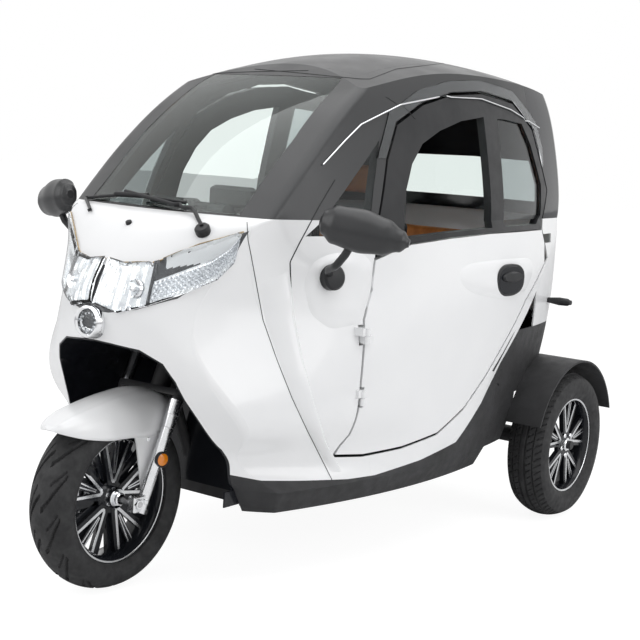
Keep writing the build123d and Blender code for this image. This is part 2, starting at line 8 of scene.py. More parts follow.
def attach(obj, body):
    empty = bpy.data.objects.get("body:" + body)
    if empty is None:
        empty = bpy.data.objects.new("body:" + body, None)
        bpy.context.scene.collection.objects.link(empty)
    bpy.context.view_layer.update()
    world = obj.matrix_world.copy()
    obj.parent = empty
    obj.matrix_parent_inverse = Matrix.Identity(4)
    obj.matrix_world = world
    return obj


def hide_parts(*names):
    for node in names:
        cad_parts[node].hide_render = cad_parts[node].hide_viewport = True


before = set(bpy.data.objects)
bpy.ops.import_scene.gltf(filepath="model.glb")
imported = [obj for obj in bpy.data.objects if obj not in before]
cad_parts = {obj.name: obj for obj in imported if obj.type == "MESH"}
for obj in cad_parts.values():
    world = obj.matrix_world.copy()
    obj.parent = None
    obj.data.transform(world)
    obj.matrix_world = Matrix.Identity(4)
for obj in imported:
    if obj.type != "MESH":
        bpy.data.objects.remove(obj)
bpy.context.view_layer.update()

# Driving dimensions, in metres, as in the part's source
AXLE_Y = -0.833
WHEELBASE = 1.634
FRONT_R, FRONT_W, FRONT_RIM = 0.243, 0.130, 0.170
REAR_R, REAR_W, REAR_RIM = 0.247, 0.135, 0.160
REAR_X = 0.503
RAKE = math.radians(24.0)
FORK_OFFSET = 0.055
FRONT_AXLE = (0, AXLE_Y, FRONT_R)

# Camera, from the photograph's perspective
CAMERA_AT = (2.432, -3.383, 1.197)
CAMERA_AZIMUTH = math.radians(35.2)
CAMERA_PITCH = math.radians(7.44)
CAMERA_ROLL = math.radians(3.79)
CAMERA_LENS = 76.43
CAMERA_SHIFT = (0.00547, 0.00231)


def linked(name, data):
    made = bpy.data.objects.new(name, data)
    bpy.context.collection.objects.link(made)
    return made


def camera_turn():
    """The camera's right, up and back, as the columns of a matrix."""
    a, e, r = CAMERA_AZIMUTH, CAMERA_PITCH, CAMERA_ROLL
    back = Vector((math.sin(a) * math.cos(e), -math.cos(a) * math.cos(e), math.sin(e)))
    right = Vector((math.cos(a), math.sin(a), 0))
    up = back.cross(right)
    tilted_right = right * math.cos(r) + up * math.sin(r)
    tilted_up = up * math.cos(r) - right * math.sin(r)
    return Matrix((tilted_right, tilted_up, back)).transposed()


def add_camera():
    data = bpy.data.cameras.new("camera")
    data.lens = CAMERA_LENS
    data.shift_x, data.shift_y = CAMERA_SHIFT
    camera = linked("camera", data)
    camera.matrix_world = Matrix.Translation(CAMERA_AT) @ camera_turn().to_4x4()
    bpy.context.scene.camera = camera


def area_light(name, at, aim, size, power):
    data = bpy.data.lights.new(name, "AREA")
    data.shape = "RECTANGLE"
    data.size, data.size_y = size
    data.energy = power
    lamp = linked(name, data)
    lamp.location = at
    lamp.rotation_euler = (Vector(aim) - Vector(at)).to_track_quat("-Z", "Y").to_euler()


def add_lights():
    area_light("top_light", (0.4, -0.2, 4.0), (0, 0, 0.6), (4.0, 4.5), 92)
    area_light("front_light", (-2.2, -4.2, 2.6), (0, -0.4, 0.7), (3.8, 3.2), 62)
    area_light("side_light", (4.2, 0.6, 2.2), (0, 0.1, 0.7), (2.6, 2.2), 40)


# Studio: a world and a floor that look white
WORLD_COLOR = (0.98, 0.985, 1.0)
WORLD_STRENGTH = 0.52
FLOOR_HALF = 30.0
FLOOR_DROP = 0.0005
FLOOR_GLOW = 1.27
FLOOR_GLOW_SHARE = 0.72


def add_node(tree, kind, inputs, **settings):
    """A shader node. Its inputs are values, or outputs of other nodes to link."""
    node = tree.nodes.new(kind)
    for key, value in settings.items():
        setattr(node, key, value)
    for key, value in inputs.items():
        if isinstance(value, bpy.types.NodeSocket):
            tree.links.new(value, node.inputs[key])
        else:
            node.inputs[key].default_value = value
    return node


def either(tree, a, b):
    return add_node(tree, "ShaderNodeMath", {0: a, 1: b}, operation="MAXIMUM").outputs[0]


def mixed(tree, share, first, second):
    inputs = {0: share, 1: first.outputs[0], 2: second.outputs[0]}
    return add_node(tree, "ShaderNodeMixShader", inputs).outputs[0]


def add_world():
    """A background that is white to the eye, to gloss and through glass, and a plain light otherwise."""
    world = bpy.data.worlds.new("studio")
    world.use_nodes = True
    tree = world.node_tree
    tree.nodes.clear()
    path = add_node(tree, "ShaderNodeLightPath", {}).outputs
    direct = either(tree, path["Is Camera Ray"], path["Is Glossy Ray"])
    shown = either(tree, direct, path["Is Transmission Ray"])
    light = add_node(tree, "ShaderNodeBackground", {"Color": (*WORLD_COLOR, 1), "Strength": WORLD_STRENGTH})
    white = add_node(tree, "ShaderNodeBackground", {"Color": (1, 1, 1, 1), "Strength": 1.0})
    add_node(tree, "ShaderNodeOutputWorld", {"Surface": mixed(tree, shown, light, white)})
    bpy.context.scene.world = world


def add_floor():
    mesh = bpy.data.meshes.new("floor")
    corners = [(x * FLOOR_HALF, y * FLOOR_HALF, 0) for x, y in ((-1, -1), (1, -1), (1, 1), (-1, 1))]
    mesh.from_pydata(corners, [], [(0, 1, 2, 3)])
    floor = linked("floor", mesh)
    floor.location.z = -FLOOR_DROP
    m = bpy.data.materials.new("floor_white")
    m.use_nodes = True
    tree = m.node_tree
    tree.nodes.clear()
    path = add_node(tree, "ShaderNodeLightPath", {}).outputs
    inputs = {0: path["Is Camera Ray"], 1: FLOOR_GLOW_SHARE}
    share = add_node(tree, "ShaderNodeMath", inputs, operation="MULTIPLY")
    flat = add_node(tree, "ShaderNodeBsdfDiffuse", {"Color": (0.9, 0.9, 0.9, 1)})
    glow = add_node(tree, "ShaderNodeEmission", {"Color": (1, 1, 1, 1), "Strength": FLOOR_GLOW})
    add_node(tree, "ShaderNodeOutputMaterial", {"Surface": mixed(tree, share.outputs[0], flat, glow)})
    mesh.materials.append(m)


# Materials
NOISE = "ShaderNodeTexNoise"
CELLS = "ShaderNodeTexVoronoi"
COLOR_STOPS = (0.35, 0.65)
ROUGH_FROM, ROUGH_TO = 0.3, 0.7
DETAIL = 3.0
BUMP_DETAIL = 4.0


def principled(name, color, rough, metal=0.0, coat=0.0, transmission=0.0, ior=1.45, coat_rough=0.03):
    m = bpy.data.materials.new(name)
    m.use_nodes = True
    values = {"Base Color": (*color, 1), "Roughness": rough, "Metallic": metal, "IOR": ior,
              "Coat Weight": coat, "Coat Roughness": coat_rough, "Transmission Weight": transmission}
    for key, value in values.items():
        m.node_tree.nodes["Principled BSDF"].inputs[key].default_value = value
    return m


def noise_at(m, scale, detail=DETAIL, kind=NOISE):
    place = add_node(m.node_tree, "ShaderNodeTexCoord", {})
    inputs = {"Scale": scale, "Vector": place.outputs["Object"]}
    if kind == NOISE:
        inputs["Detail"] = detail
    return add_node(m.node_tree, kind, inputs).outputs[0]


def feed(m, key, node):
    m.node_tree.links.new(node.outputs[0], m.node_tree.nodes["Principled BSDF"].inputs[key])


def vary_color(m, scale, dark, light):
    """The colour drifts between two shades."""
    ramp = add_node(m.node_tree, "ShaderNodeValToRGB", {0: noise_at(m, scale)})
    for k, color in enumerate((dark, light)):
        ramp.color_ramp.elements[k].position = COLOR_STOPS[k]
        ramp.color_ramp.elements[k].color = (*color, 1)
    feed(m, "Base Color", ramp)


def vary_rough(m, scale, low, high):
    inputs = {"Value": noise_at(m, scale), "From Min": ROUGH_FROM, "From Max": ROUGH_TO, "To Min": low,
              "To Max": high}
    feed(m, "Roughness", add_node(m.node_tree, "ShaderNodeMapRange", inputs))


def add_bump(m, scale, depth, strength, kind=NOISE):
    inputs = {"Height": noise_at(m, scale, BUMP_DETAIL, kind), "Strength": strength, "Distance": depth}
    feed(m, "Normal", add_node(m.node_tree, "ShaderNodeBump", inputs))


def make_white_paint():
    m = principled("white_paint", (0.86, 0.865, 0.87), 0.22, coat=0.3)
    vary_color(m, 3.0, (0.845, 0.85, 0.857), (0.875, 0.878, 0.882))
    vary_rough(m, 14.0, 0.18, 0.27)
    add_bump(m, 700.0, 0.0002, 0.04)
    return m


def make_grey_paint():
    m = principled("grey_paint", (0.045, 0.046, 0.048), 0.38, metal=0.3, coat=0.1, coat_rough=0.2)
    vary_color(m, 1600.0, (0.022, 0.0225, 0.0235), (0.046, 0.047, 0.049))
    vary_rough(m, 9.0, 0.32, 0.42)
    add_bump(m, 1500.0, 0.0002, 0.05)
    return m


def make_black_gloss():
    m = principled("black_gloss", (0.010, 0.011, 0.014), 0.14, ior=1.36)
    vary_color(m, 5.0, (0.008, 0.009, 0.012), (0.014, 0.015, 0.018))
    vary_rough(m, 20.0, 0.09, 0.17)
    add_bump(m, 500.0, 0.0002, 0.03)
    return m


def make_dark_plastic():
    m = principled("dark_plastic", (0.022, 0.022, 0.023), 0.6)
    vary_color(m, 12.0, (0.018, 0.018, 0.019), (0.028, 0.028, 0.030))
    vary_rough(m, 30.0, 0.5, 0.68)
    add_bump(m, 900.0, 0.0006, 0.25, CELLS)
    return m


def make_satin_black():
    m = principled("satin_black", (0.020, 0.0205, 0.022), 0.34, ior=1.34)
    vary_color(m, 9.0, (0.016, 0.0165, 0.018), (0.026, 0.0265, 0.028))
    vary_rough(m, 40.0, 0.3, 0.42)
    add_bump(m, 1200.0, 0.0003, 0.08)
    return m


def make_tyre():
    m = principled("tyre_rubber", (0.019, 0.019, 0.020), 0.7)
    vary_color(m, 25.0, (0.014, 0.014, 0.015), (0.027, 0.027, 0.028))
    vary_rough(m, 60.0, 0.58, 0.8)
    add_bump(m, 450.0, 0.0005, 0.2)
    return m


def make_alloy():
    m = principled("machined_alloy", (0.72, 0.73, 0.74), 0.24, metal=1.0)
    vary_color(m, 60.0, (0.70, 0.71, 0.725), (0.74, 0.745, 0.755))
    vary_rough(m, 220.0, 0.22, 0.28)
    add_bump(m, 800.0, 0.0002, 0.06)
    return m


def make_steel():
    m = principled("brushed_steel", (0.52, 0.52, 0.53), 0.3, metal=1.0)
    vary_color(m, 90.0, (0.45, 0.45, 0.46), (0.6, 0.6, 0.61))
    vary_rough(m, 300.0, 0.24, 0.4)
    add_bump(m, 1000.0, 0.0002, 0.08)
    return m


def make_chrome():
    m = principled("chrome", (0.80, 0.81, 0.82), 0.06, metal=1.0)
    vary_rough(m, 30.0, 0.04, 0.09)
    vary_color(m, 20.0, (0.77, 0.78, 0.80), (0.83, 0.835, 0.84))
    return m


def make_dark_chrome():
    m = principled("dark_chrome", (0.22, 0.225, 0.235), 0.12, metal=1.0)
    vary_rough(m, 40.0, 0.09, 0.17)
    vary_color(m, 30.0, (0.19, 0.195, 0.205), (0.26, 0.265, 0.275))
    return m


def make_glass(name, tint):
    m = principled(name, tint, 0.0, transmission=1.0, ior=1.3)
    vary_color(m, 2.0, tuple(c * 0.98 for c in tint), tint)
    return m


def make_leather(name, color, dark, light):
    m = principled(name, color, 0.5)
    vary_color(m, 40.0, dark, light)
    vary_rough(m, 120.0, 0.42, 0.6)
    add_bump(m, 420.0, 0.0007, 0.4, CELLS)
    return m


def make_amber():
    m = principled("amber_lens", (0.85, 0.25, 0.01), 0.15, coat=0.8)
    add_bump(m, 350.0, 0.0006, 0.4, CELLS)
    return m


def make_crystal():
    m = principled("lamp_crystal", (0.86, 0.88, 0.92), 0.10, metal=0.7)
    vary_color(m, 260.0, (0.45, 0.47, 0.50), (0.95, 0.96, 0.98))
    add_bump(m, 300.0, 0.0008, 0.5, CELLS)
    return m


def make_reflector():
    m = principled("lamp_reflector", (0.93, 0.935, 0.95), 0.20, metal=0.75)
    vary_color(m, 45.0, (0.80, 0.81, 0.84), (0.97, 0.975, 0.98))
    vary_rough(m, 50.0, 0.14, 0.26)
    return m


def make_smoke():
    m = principled("smoked_lens", (0.055, 0.057, 0.062), 0.10, coat=0.8)
    vary_color(m, 30.0, (0.04, 0.042, 0.046), (0.08, 0.082, 0.088))
    return m


def make_gold():
    m = principled("bronze_line", (0.48, 0.36, 0.20), 0.25, metal=0.9)
    vary_rough(m, 60.0, 0.2, 0.35)
    return m


MATERIALS = {
    "white": make_white_paint(),
    "grey": make_grey_paint(),
    "black": make_black_gloss(),
    "plastic": make_dark_plastic(),
    "satin": make_satin_black(),
    "tyre": make_tyre(),
    "alloy": make_alloy(),
    "steel": make_steel(),
    "chrome": make_chrome(),
    "dark_chrome": make_dark_chrome(),
    "screen": make_glass("screen_glass", (0.80, 0.88, 0.85)),
    "tint": make_glass("tinted_glass", (0.42, 0.45, 0.46)),
    "clear": make_glass("clear_plastic", (0.94, 0.96, 0.97)),
    "leather": make_leather("tan_leather", (0.62, 0.21, 0.04), (0.52, 0.165, 0.03), (0.70, 0.25, 0.055)),
    "black_leather": make_leather("black_leather", (0.017, 0.017, 0.018), (0.012, 0.012, 0.013),
                                  (0.024, 0.024, 0.026)),
    "amber": make_amber(),
    "crystal": make_crystal(),
    "smoke": make_smoke(),
    "gold": make_gold(),
    "reflector": make_reflector(),
}

NODE_FINISH = {
    "white": ("front_cowl", "side_panels", "lower_bands", "rear_body", "front_fender", "door_panel_left",
              "door_panel_right"),
    "grey": ("roof_panel", "pillars", "mirrors"),
    "black": ("arch_liner", "rear_frame"),
    "satin": ("door_frame_left", "door_frame_right", "handlebar"),
    "plastic": ("sills", "rear_tub", "rear_fenders", "floor_tub", "dashboard", "seat_base", "wiper",
                "tail_lamps", "chassis_frame", "rear_axle", "battery_block"),
    "dark_chrome": ("fork",),
    "steel": ("brake_disc", "rear_shocks", "steering_stem", "front_axle"),
    "tyre": ("front_tyre", "rear_tyre_left", "rear_tyre_right"),
    "alloy": ("front_rim", "rear_rim_left", "rear_rim_right"),
    "screen": ("windscreen", "rear_window"),
    "tint": ("quarter_glass", "door_glass_left", "door_glass_right"),
    "clear": ("visors",),
    "smoke": ("headlamps",),
    "leather": ("seat_cushions", "seat_backs"),
}


def finish_nodes():
    for key, names in NODE_FINISH.items():
        for name in names:
            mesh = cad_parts[name].data
            mesh.materials.clear()
            mesh.materials.append(MATERIALS[key])


# Making meshes
def toward(at, way):
    """A frame at a place, with its X axis along a direction."""
    return Matrix.Translation(at) @ Vector(way).to_track_quat("X", "Z").to_matrix().to_4x4()


def sideways(side, at, flip=1):
    """A frame at a place, with its X along Y, its Y up (down with flip -1) and its Z outward on one side."""
    return Matrix(((0, 0, side, at[0]), (1, 0, 0, at[1]), (0, flip, 0, at[2]), (0, 0, 0, 1)))


def polar(r, a):
    return (r * math.cos(a), r * math.sin(a))


def oval(half_x, half_y, steps, x=0.0, y=0.0, power=1.0):
    """Points round an ellipse, which is squarer with a power below 1."""
    out = []
    for k in range(steps):
        c, s = (math.copysign(abs(v) ** power, v) for v in polar(1.0, math.tau * k / steps))
        out.append((x + half_x * c, y + half_y * s))
    return out


def quads(rows, n, wrap=True, ring=False):
    """Faces between rows of n points. wrap closes each row, and ring joins the last row to the first."""
    faces = []
    for i in range(rows if ring else rows - 1):
        a, b = i * n, (i + 1) % rows * n
        for k in range(n if wrap else n - 1):
            m = (k + 1) % n
            faces.append((a + k, a + m, b + m, b + k))
    return faces


class Shape:
    """Collects solids of one piece, each with the number of its material."""

    def __init__(self):
        self.verts = []
        self.faces = []
        self.marks = []

    def add(self, verts, faces, mark=0, place=None):
        first = len(self.verts)
        for v in verts:
            self.verts.append(tuple(place @ Vector(v)) if place else tuple(v))
        for f in faces:
            self.faces.append(tuple(first + i for i in f))
            self.marks.append(mark)

    def lathe(self, profile, place, mark=0, steps=64, closed=False):
        """A profile of (along, radius) turned about the local X axis."""
        verts = []
        for i in range(steps):
            a = math.tau * i / steps
            verts += [(x, *polar(r, a)) for x, r in profile]
        self.add(verts, quads(steps, len(profile), closed, True), mark, place)

    def rod(self, a, b, r, mark=0, steps=24, edge=0.001, r_end=None):
        """A round bar with softened ends."""
        d = Vector(b) - Vector(a)
        end = r if r_end is None else r_end
        e = min(edge, r * 0.4, end * 0.4)
        profile = [(0, 0), (0, r - e), (e, r), (d.length - e, end), (d.length, end - e), (d.length, 0)]
        self.lathe(profile, toward(a, d), mark, steps)

    def tube(self, rings, mark=0, place=None):
        """A skin through rings of points, closed at both ends."""
        n = len(rings[0])
        count = len(rings) * n
        caps = [tuple(range(n)), tuple(count - 1 - k for k in range(n))]
        self.add([p for ring in rings for p in ring], quads(len(rings), n) + caps, mark, place)

    def pipe(self, points, r, mark=0, steps=12):
        """A round bar along a path."""
        points = [Vector(p) for p in points]
        up = Vector((0.13, 0.21, 0.97))
        rings = []
        for i, p in enumerate(points):
            d = (points[min(i + 1, len(points) - 1)] - points[max(i - 1, 0)]).normalized()
            u = d.cross(up).normalized()
            v = u.cross(d)
            turns = [math.tau * k / steps for k in range(steps)]
            rings.append([p + (u * math.cos(a) + v * math.sin(a)) * r for a in turns])
        self.tube(rings, mark)

    def prism(self, outline, low, high, place=None, mark=0, edge=0.0):
        """An outline in the local X and Y, raised along Z, with a chamfer at its top."""
        n = len(outline)
        cx = sum(p[0] for p in outline) / n
        cy = sum(p[1] for p in outline) / n
        levels = [(low, 0), (high - edge, 0)] + ([(high, edge)] if edge else [])
        verts = []
        for z, shrink in levels:
            for x, y in outline:
                d = math.hypot(x - cx, y - cy) or 1.0
                verts.append((x - (x - cx) / d * shrink, y - (y - cy) / d * shrink, z))
        caps = [tuple(reversed(range(n))), tuple(range(len(verts) - n, len(verts)))]
        self.add(verts, caps + quads(len(levels), n), mark, place)

    def grid(self, rows, mark=0, wrap=False):
        """A sheet through rows of points."""
        self.add([p for row in rows for p in row], quads(len(rows), len(rows[0]), wrap), mark)

    def object(self, name, materials, body, replaces=(), slot=None, angle=35.0, thick=0.0):
        mesh = bpy.data.meshes.new(name)
        mesh.from_pydata(self.verts, [], self.faces)
        for key in materials:
            mesh.materials.append(MATERIALS[key])
        mesh.polygons.foreach_set("material_index", self.marks)
        work = bmesh.new()
        work.from_mesh(mesh)
        bmesh.ops.remove_doubles(work, verts=work.verts, dist=1e-6)
        bmesh.ops.recalc_face_normals(work, faces=work.faces)
        work.to_mesh(mesh)
        work.free()
        mesh.polygons.foreach_set("use_smooth", [True] * len(mesh.polygons))
        mesh.set_sharp_from_angle(angle=math.radians(angle))
        obj = linked(name, mesh)
        if thick:
            wall = obj.modifiers.new("wall", "SOLIDIFY")
            wall.thickness = thick
            wall.offset = -1.0
        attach(obj, body)
        if replaces:
            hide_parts(*replaces)


def rounded_box(shape, centre, size, mark=0, place=None, edge=0.003):
    """A box with chamfered edges all round."""
    x, y, z = (v / 2 for v in size)
    verts = []
    for grow, height in ((-edge, -z), (0, -z + edge), (0, z - edge), (-edge, z)):
        for sx, sy in ((1, 1), (-1, 1), (-1, -1), (1, -1)):
            px, py = sx * (x + grow), sy * (y + grow)
            corner = [(px, py - sy * edge), (px - sx * edge, py)]
            for cx, cy in corner if sx * sy > 0 else reversed(corner):
                verts.append((cx + centre[0], cy + centre[1], height + centre[2]))
    caps = [tuple(reversed(range(8))), tuple(range(24, 32))]
    shape.add(verts, quads(4, 8) + caps, mark, place)


def arc_points(a, b, c, steps):
    """Points on the circle through three points of a plane, from a to c."""
    d = 2 * (a[0] * (b[1] - c[1]) + b[0] * (c[1] - a[1]) + c[0] * (a[1] - b[1]))
    sa, sb, sc = (p[0] ** 2 + p[1] ** 2 for p in (a, b, c))
    cx = (sa * (b[1] - c[1]) + sb * (c[1] - a[1]) + sc * (a[1] - b[1])) / d
    cy = (sa * (c[0] - b[0]) + sb * (a[0] - c[0]) + sc * (b[0] - a[0])) / d
    r = math.hypot(a[0] - cx, a[1] - cy)
    t0, t1, t2 = (math.atan2(p[1] - cy, p[0] - cx) for p in (a, b, c))
    mid = (t1 - t0 + math.pi) % math.tau - math.pi
    end = (t2 - t0 + math.pi) % math.tau - math.pi
    if mid * end < 0:
        end += math.tau if mid > 0 else -math.tau
    turns = [t0 + end * k / steps for k in range(steps + 1)]
    return [(cx + r * math.cos(t), cy + r * math.sin(t)) for t in turns]


# Tyres: rings of the CAD's size with their tread cut in
TYRE_STEPS = 540
TREAD_STEPS = 44
WALL_STEPS = 10
GROOVE = 0.0062
FRONT_SLOTS = 13
FRONT_TREAD_HALF = 0.058
# Rear grooves: distance from the middle and half width. Rear cuts: from, to and share of the pitch
REAR_GROOVES = ((0.0105, 0.0022), (0.0345, 0.0026))
REAR_CUTS = ((0.014, 0.031, 0.16), (0.039, 0.060, 0.2))
REAR_CUT_COUNT = 64
SHOULDER = 0.020
# Raised rings on the wall: height over the bead and half width
WALL_RINGS = ((0.016, 0.003), (0.034, 0.0022))
RING_RISE = 0.0008


def front_groove(turn, x):
    """Depth of the front tread: long curved slots, staggered on the two sides."""
    side = 1.0 if x >= 0 else -1.0
    across = abs(x) / FRONT_TREAD_HALF
    if across > 1.0:
        return 0.0
    lean = 0.95 * across ** 1.6 + 0.10
    phase = (turn * FRONT_SLOTS / math.tau + (0.5 if side > 0 else 0.0) + side * lean) % 1.0
    if 0.06 < across < 0.96 and phase < 0.125:
        return GROOVE
    short = (phase + 0.5 - 0.35 * across) % 1.0
    if 0.36 < across < 0.86 and short < 0.08:
        return GROOVE * 0.7
    return 0.0


def rear_groove(turn, x):
    """Depth of the rear tread: four grooves round the tyre, and fine cuts across its ribs."""
    across = abs(x)
    for centre, half in REAR_GROOVES:
        if abs(across - centre) < half:
            return GROOVE
    phase = (turn * REAR_CUT_COUNT / math.tau + across * 28.0 * (1.0 if x > 0 else -1.0)) % 1.0
    for low, high, share in REAR_CUTS:
        if low < across < high and phase < share:
            return GROOVE * 0.6
    return 0.0


def tyre_profile(r, w, bead):
    half = w / 2
    edge = (half - 0.007, r - SHOULDER)
    wall = arc_points((half - 0.012, bead), (half, (r + bead) / 2), edge, WALL_STEPS)
    tread = arc_points(edge, (0, r), (-edge[0], edge[1]), TREAD_STEPS)
    other = [(-x, y) for x, y in reversed(wall)]
    return wall[:-1] + tread + other[1:]


def add_tyre(name, body, centre, r, w, bead, groove, replaces):
    profile = tyre_profile(r, w, bead)
    verts = []
    for i in range(TYRE_STEPS):
        turn = math.tau * i / TYRE_STEPS
        for x, radius in profile:
            depth = groove(turn, x) if radius > r - SHOULDER - 0.001 else 0.0
            raised = any(abs(radius - (bead + up)) < half for up, half in WALL_RINGS)
            ring = RING_RISE if raised else 0.0
            verts.append((x + (ring if x > 0 else -ring), *polar(radius - depth, turn)))
    shape = Shape()
    shape.add(verts, quads(TYRE_STEPS, len(profile), True, True), 0, Matrix.Translation(centre))
    shape.object(name, ["tyre"], body, replaces, "tyre", angle=28.0)


# Wheels: a black barrel with five groups of machined spokes
SPOKES = 5
SPOKE_TURN = 0.22
RIM_STEPS = 120
# Bars: share of the hub's radius, angle and width there, then depth under the rim, angle and width there
BAR_BODY = (0.9, 0.20, 0.020, 0.010, 0.33, 0.017)
BAR_FACE = (1.18, 0.10, 0.0085, 0.0085, 0.30, 0.0072)
BAR_INLAY = (1.75, 0.035, 0.0030, 0.0085, 0.045, 0.0042)
BAR_MIDDLE = (0.9, 0.0, 0.022, 0.010, 0.0, 0.020)
# Share of the hub's radius and angle round the machined tip of a group
SPOKE_TIP = ((1.05, -0.12), (1.42, -0.17), (1.30, 0.0), (1.42, 0.17), (1.05, 0.12))
# Height over the face and share of the hub's radius
NUT_CAP = ((-0.002, 0.62), (0.010, 0.60), (0.013, 0.50), (0.0125, 0.0))
HUB_RING = ((-0.002, 0.80), (0.020, 0.78), (0.024, 0.70), (0.022, 0.52), (0.032, 0.48))
NUT_RADIUS = 0.0085
VALVE_TURN = 0.9


def spoke_bar(shape, place, hub, r, turn, side, bar, low, high, mark):
    """A tapered bar from the hub out to the rim, to one side of its group's middle."""
    share, a0, w0, drop, a1, w1 = bar
    p, q = polar(hub * share, turn + side * a0), polar(r - drop, turn + side * a1)
    dx, dy = q[0] - p[0], q[1] - p[1]
    d = math.hypot(dx, dy)
    nx, ny = -dy / d, dx / d
    corners = ((p, -w0), (q, -w1), (q, w1), (p, w0))
    shape.prism([(c[0] + nx * w / 2, c[1] + ny * w / 2) for c, w in corners], low, high, place, mark, 0.0006)


def add_barrel(shape, place, r, w):
    half = w / 2 - 0.010
    lip, seat, under, well = r - 0.0004, r - 0.007, r - 0.0085, r - 0.0165
    barrel = [
        (-half, lip), (-half + 0.010, lip), (-half + 0.016, seat), (half - 0.016, seat), (half - 0.010, lip),
        (half, lip), (half, under), (half - 0.012, well), (-half + 0.012, well), (-half, under),
    ]
    shape.lathe(barrel, place, 0, RIM_STEPS, closed=True)
    for sign in (-1, 1):
        ring = [(sign * (half + 0.0002), lip - 0.0008), (sign * (half + 0.0012), lip - 0.002),
                (sign * (half + 0.0012), r - 0.0066), (sign * (half + 0.0002), r - 0.0078)]
        shape.lathe(ring, place, 1, RIM_STEPS, closed=True)


def add_spokes(shape, out, r, hub, inner, face):
    for k in range(SPOKES):
        a = math.tau * k / SPOKES + SPOKE_TURN
        for s in (-1, 1):
            spoke_bar(shape, out, hub, r, a, s, BAR_BODY, inner, face, 0)
            spoke_bar(shape, out, hub, r, a, s, BAR_FACE, face, face + 0.0012, 1)
            spoke_bar(shape, out, hub, r, a, s, BAR_INLAY, face - 0.001, face + 0.0008, 1)
        spoke_bar(shape, out, hub, r, a, 1, BAR_MIDDLE, inner, face - 0.001, 0)
        tip = [polar(hub * share, a + angle) for share, angle in SPOKE_TIP]
        shape.prism(tip, face, face + 0.0010, out, 1)
    shape.prism(oval(hub * 1.25, hub * 1.25, 60), inner, face - 0.001, out, 0, 0.002)


def add_nuts(shape, place, out, hub, sign, face):
    shape.lathe([(sign * (face + up), hub * share) for up, share in NUT_CAP], place, 2, 48)
    for k in range(SPOKES):
        at = polar(hub * 0.97, math.tau * (k + 0.5) / SPOKES + SPOKE_TURN)
        shape.prism(oval(NUT_RADIUS, NUT_RADIUS, 6, *at), face - 0.001, face + 0.009, out, 2, 0.0015)


def add_rim(name, body, centre, r, w, hub, bore, faces_out, replaces, nuts):
    """faces_out lists, for each machined side, its direction and how far out it lies."""
    shape = Shape()
    place = Matrix.Translation(centre)
    add_barrel(shape, place, r, w)
    for sign, face in faces_out:
        out = sideways(sign, centre, sign)
        add_spokes(shape, out, r, hub, face - 0.016 if len(faces_out) == 1 else 0.0, face)
        if nuts:
            add_nuts(shape, place, out, hub, sign, face)
        else:
            ring = [(face + up, hub * share) for up, share in HUB_RING]
            ring += [(face + 0.034, bore + 0.003), (face, bore + 0.002)]
            shape.lathe([(sign * x, q) for x, q in ring], place, 2, 48)
    valve = place @ Matrix.Rotation(VALVE_TURN, 4, "X")
    shape.rod(valve @ Vector((0.012, 0, r - 0.018)), valve @ Vector((0.030, 0, r - 0.045)), 0.003, 3)
    shape.object(name, ["black", "alloy", "chrome", "satin"], body, replaces, "alloy")


# Brake disc: a thin ring with three rows of holes, on a carrier with five arms
DISC_RINGS = (0.060, 0.067, 0.070, 0.077, 0.080, 0.087, 0.090, 0.095)
DISC_STEPS = 96
DISC_HALF = 0.002
DISC_X = -0.056
CARRIER_HALF = 0.003
CARRIER_ARM = (1.0, 0.0, 0.014, 0.0, 0.25, 0.011)


def disc_index(side, ring, k):
    return (side * len(DISC_RINGS) + ring) * DISC_STEPS + k % DISC_STEPS


def disc_wall(a, b):
    """A face through the disc's thickness, between two of its places."""
    return (disc_index(0, *a), disc_index(0, *b), disc_index(1, *b), disc_index(1, *a))


def add_brake_disc():
    verts, faces = [], []
    for side in (-DISC_HALF, DISC_HALF):
        for radius in DISC_RINGS:
            for k in range(DISC_STEPS):
                y, z = polar(radius, math.tau * k / DISC_STEPS)
                verts.append((DISC_X + side, AXLE_Y + y, FRONT_R + z))
    last = len(DISC_RINGS) - 1
    for ring in range(last):
        for k in range(DISC_STEPS):
            ends = ((ring, k), (ring, k + 1), (ring + 1, k + 1), (ring + 1, k))
            if ring in (1, 3, 5) and (k + ring) % 6 == 0:
                faces += [disc_wall(ends[i], ends[(i + 1) % 4]) for i in range(4)]
            else:
                faces += [tuple(disc_index(side, *e) for e in ends) for side in (0, 1)]
    for ring in (0, last):
        faces += [disc_wall((ring, k), (ring, k + 1)) for k in range(DISC_STEPS)]
    shape = Shape()
    shape.add(verts, faces, 0)
    low, high = DISC_X - CARRIER_HALF, DISC_X + CARRIER_HALF
    carrier = [(low, 0.0364), (high, 0.0364), (high, 0.050), (low, 0.050)]
    shape.lathe(carrier, Matrix.Translation(FRONT_AXLE), 1, 48, closed=True)
    turn = sideways(1, (DISC_X, AXLE_Y, FRONT_R))
    for k in range(SPOKES):
        spoke_bar(shape, turn, 0.048, 0.062, math.tau * k / SPOKES, 1, CARRIER_ARM, -0.0025, 0.0025, 1)
    shape.object("disc_plate", ["steel", "black"], "front_wheel", ("brake_disc",), "steel")


# Front end: fork legs, clamps and caliper
LEG_X = 0.096
LEG_OFFSET = 0.028
# Rods of a leg, up the steering axis: from, to, radius at each end, material, sides, softened edge
LEG_RODS = (
    (-0.020, 0.215, 0.0155, 0.0165, 0, 32, 0.001), (0.215, 0.250, 0.0165, 0.0195, 0, 32, 0.0005),
    (0.250, 0.292, 0.0195, 0.0195, 0, 32, 0.001), (0.292, 0.300, 0.0175, 0.0175, 2, 32, 0.001),
    (0.298, 0.418, 0.0150, 0.0150, 1, 32, 0.001), (0.416, 0.424, 0.0120, 0.0120, 3, 6, 0.001),
)
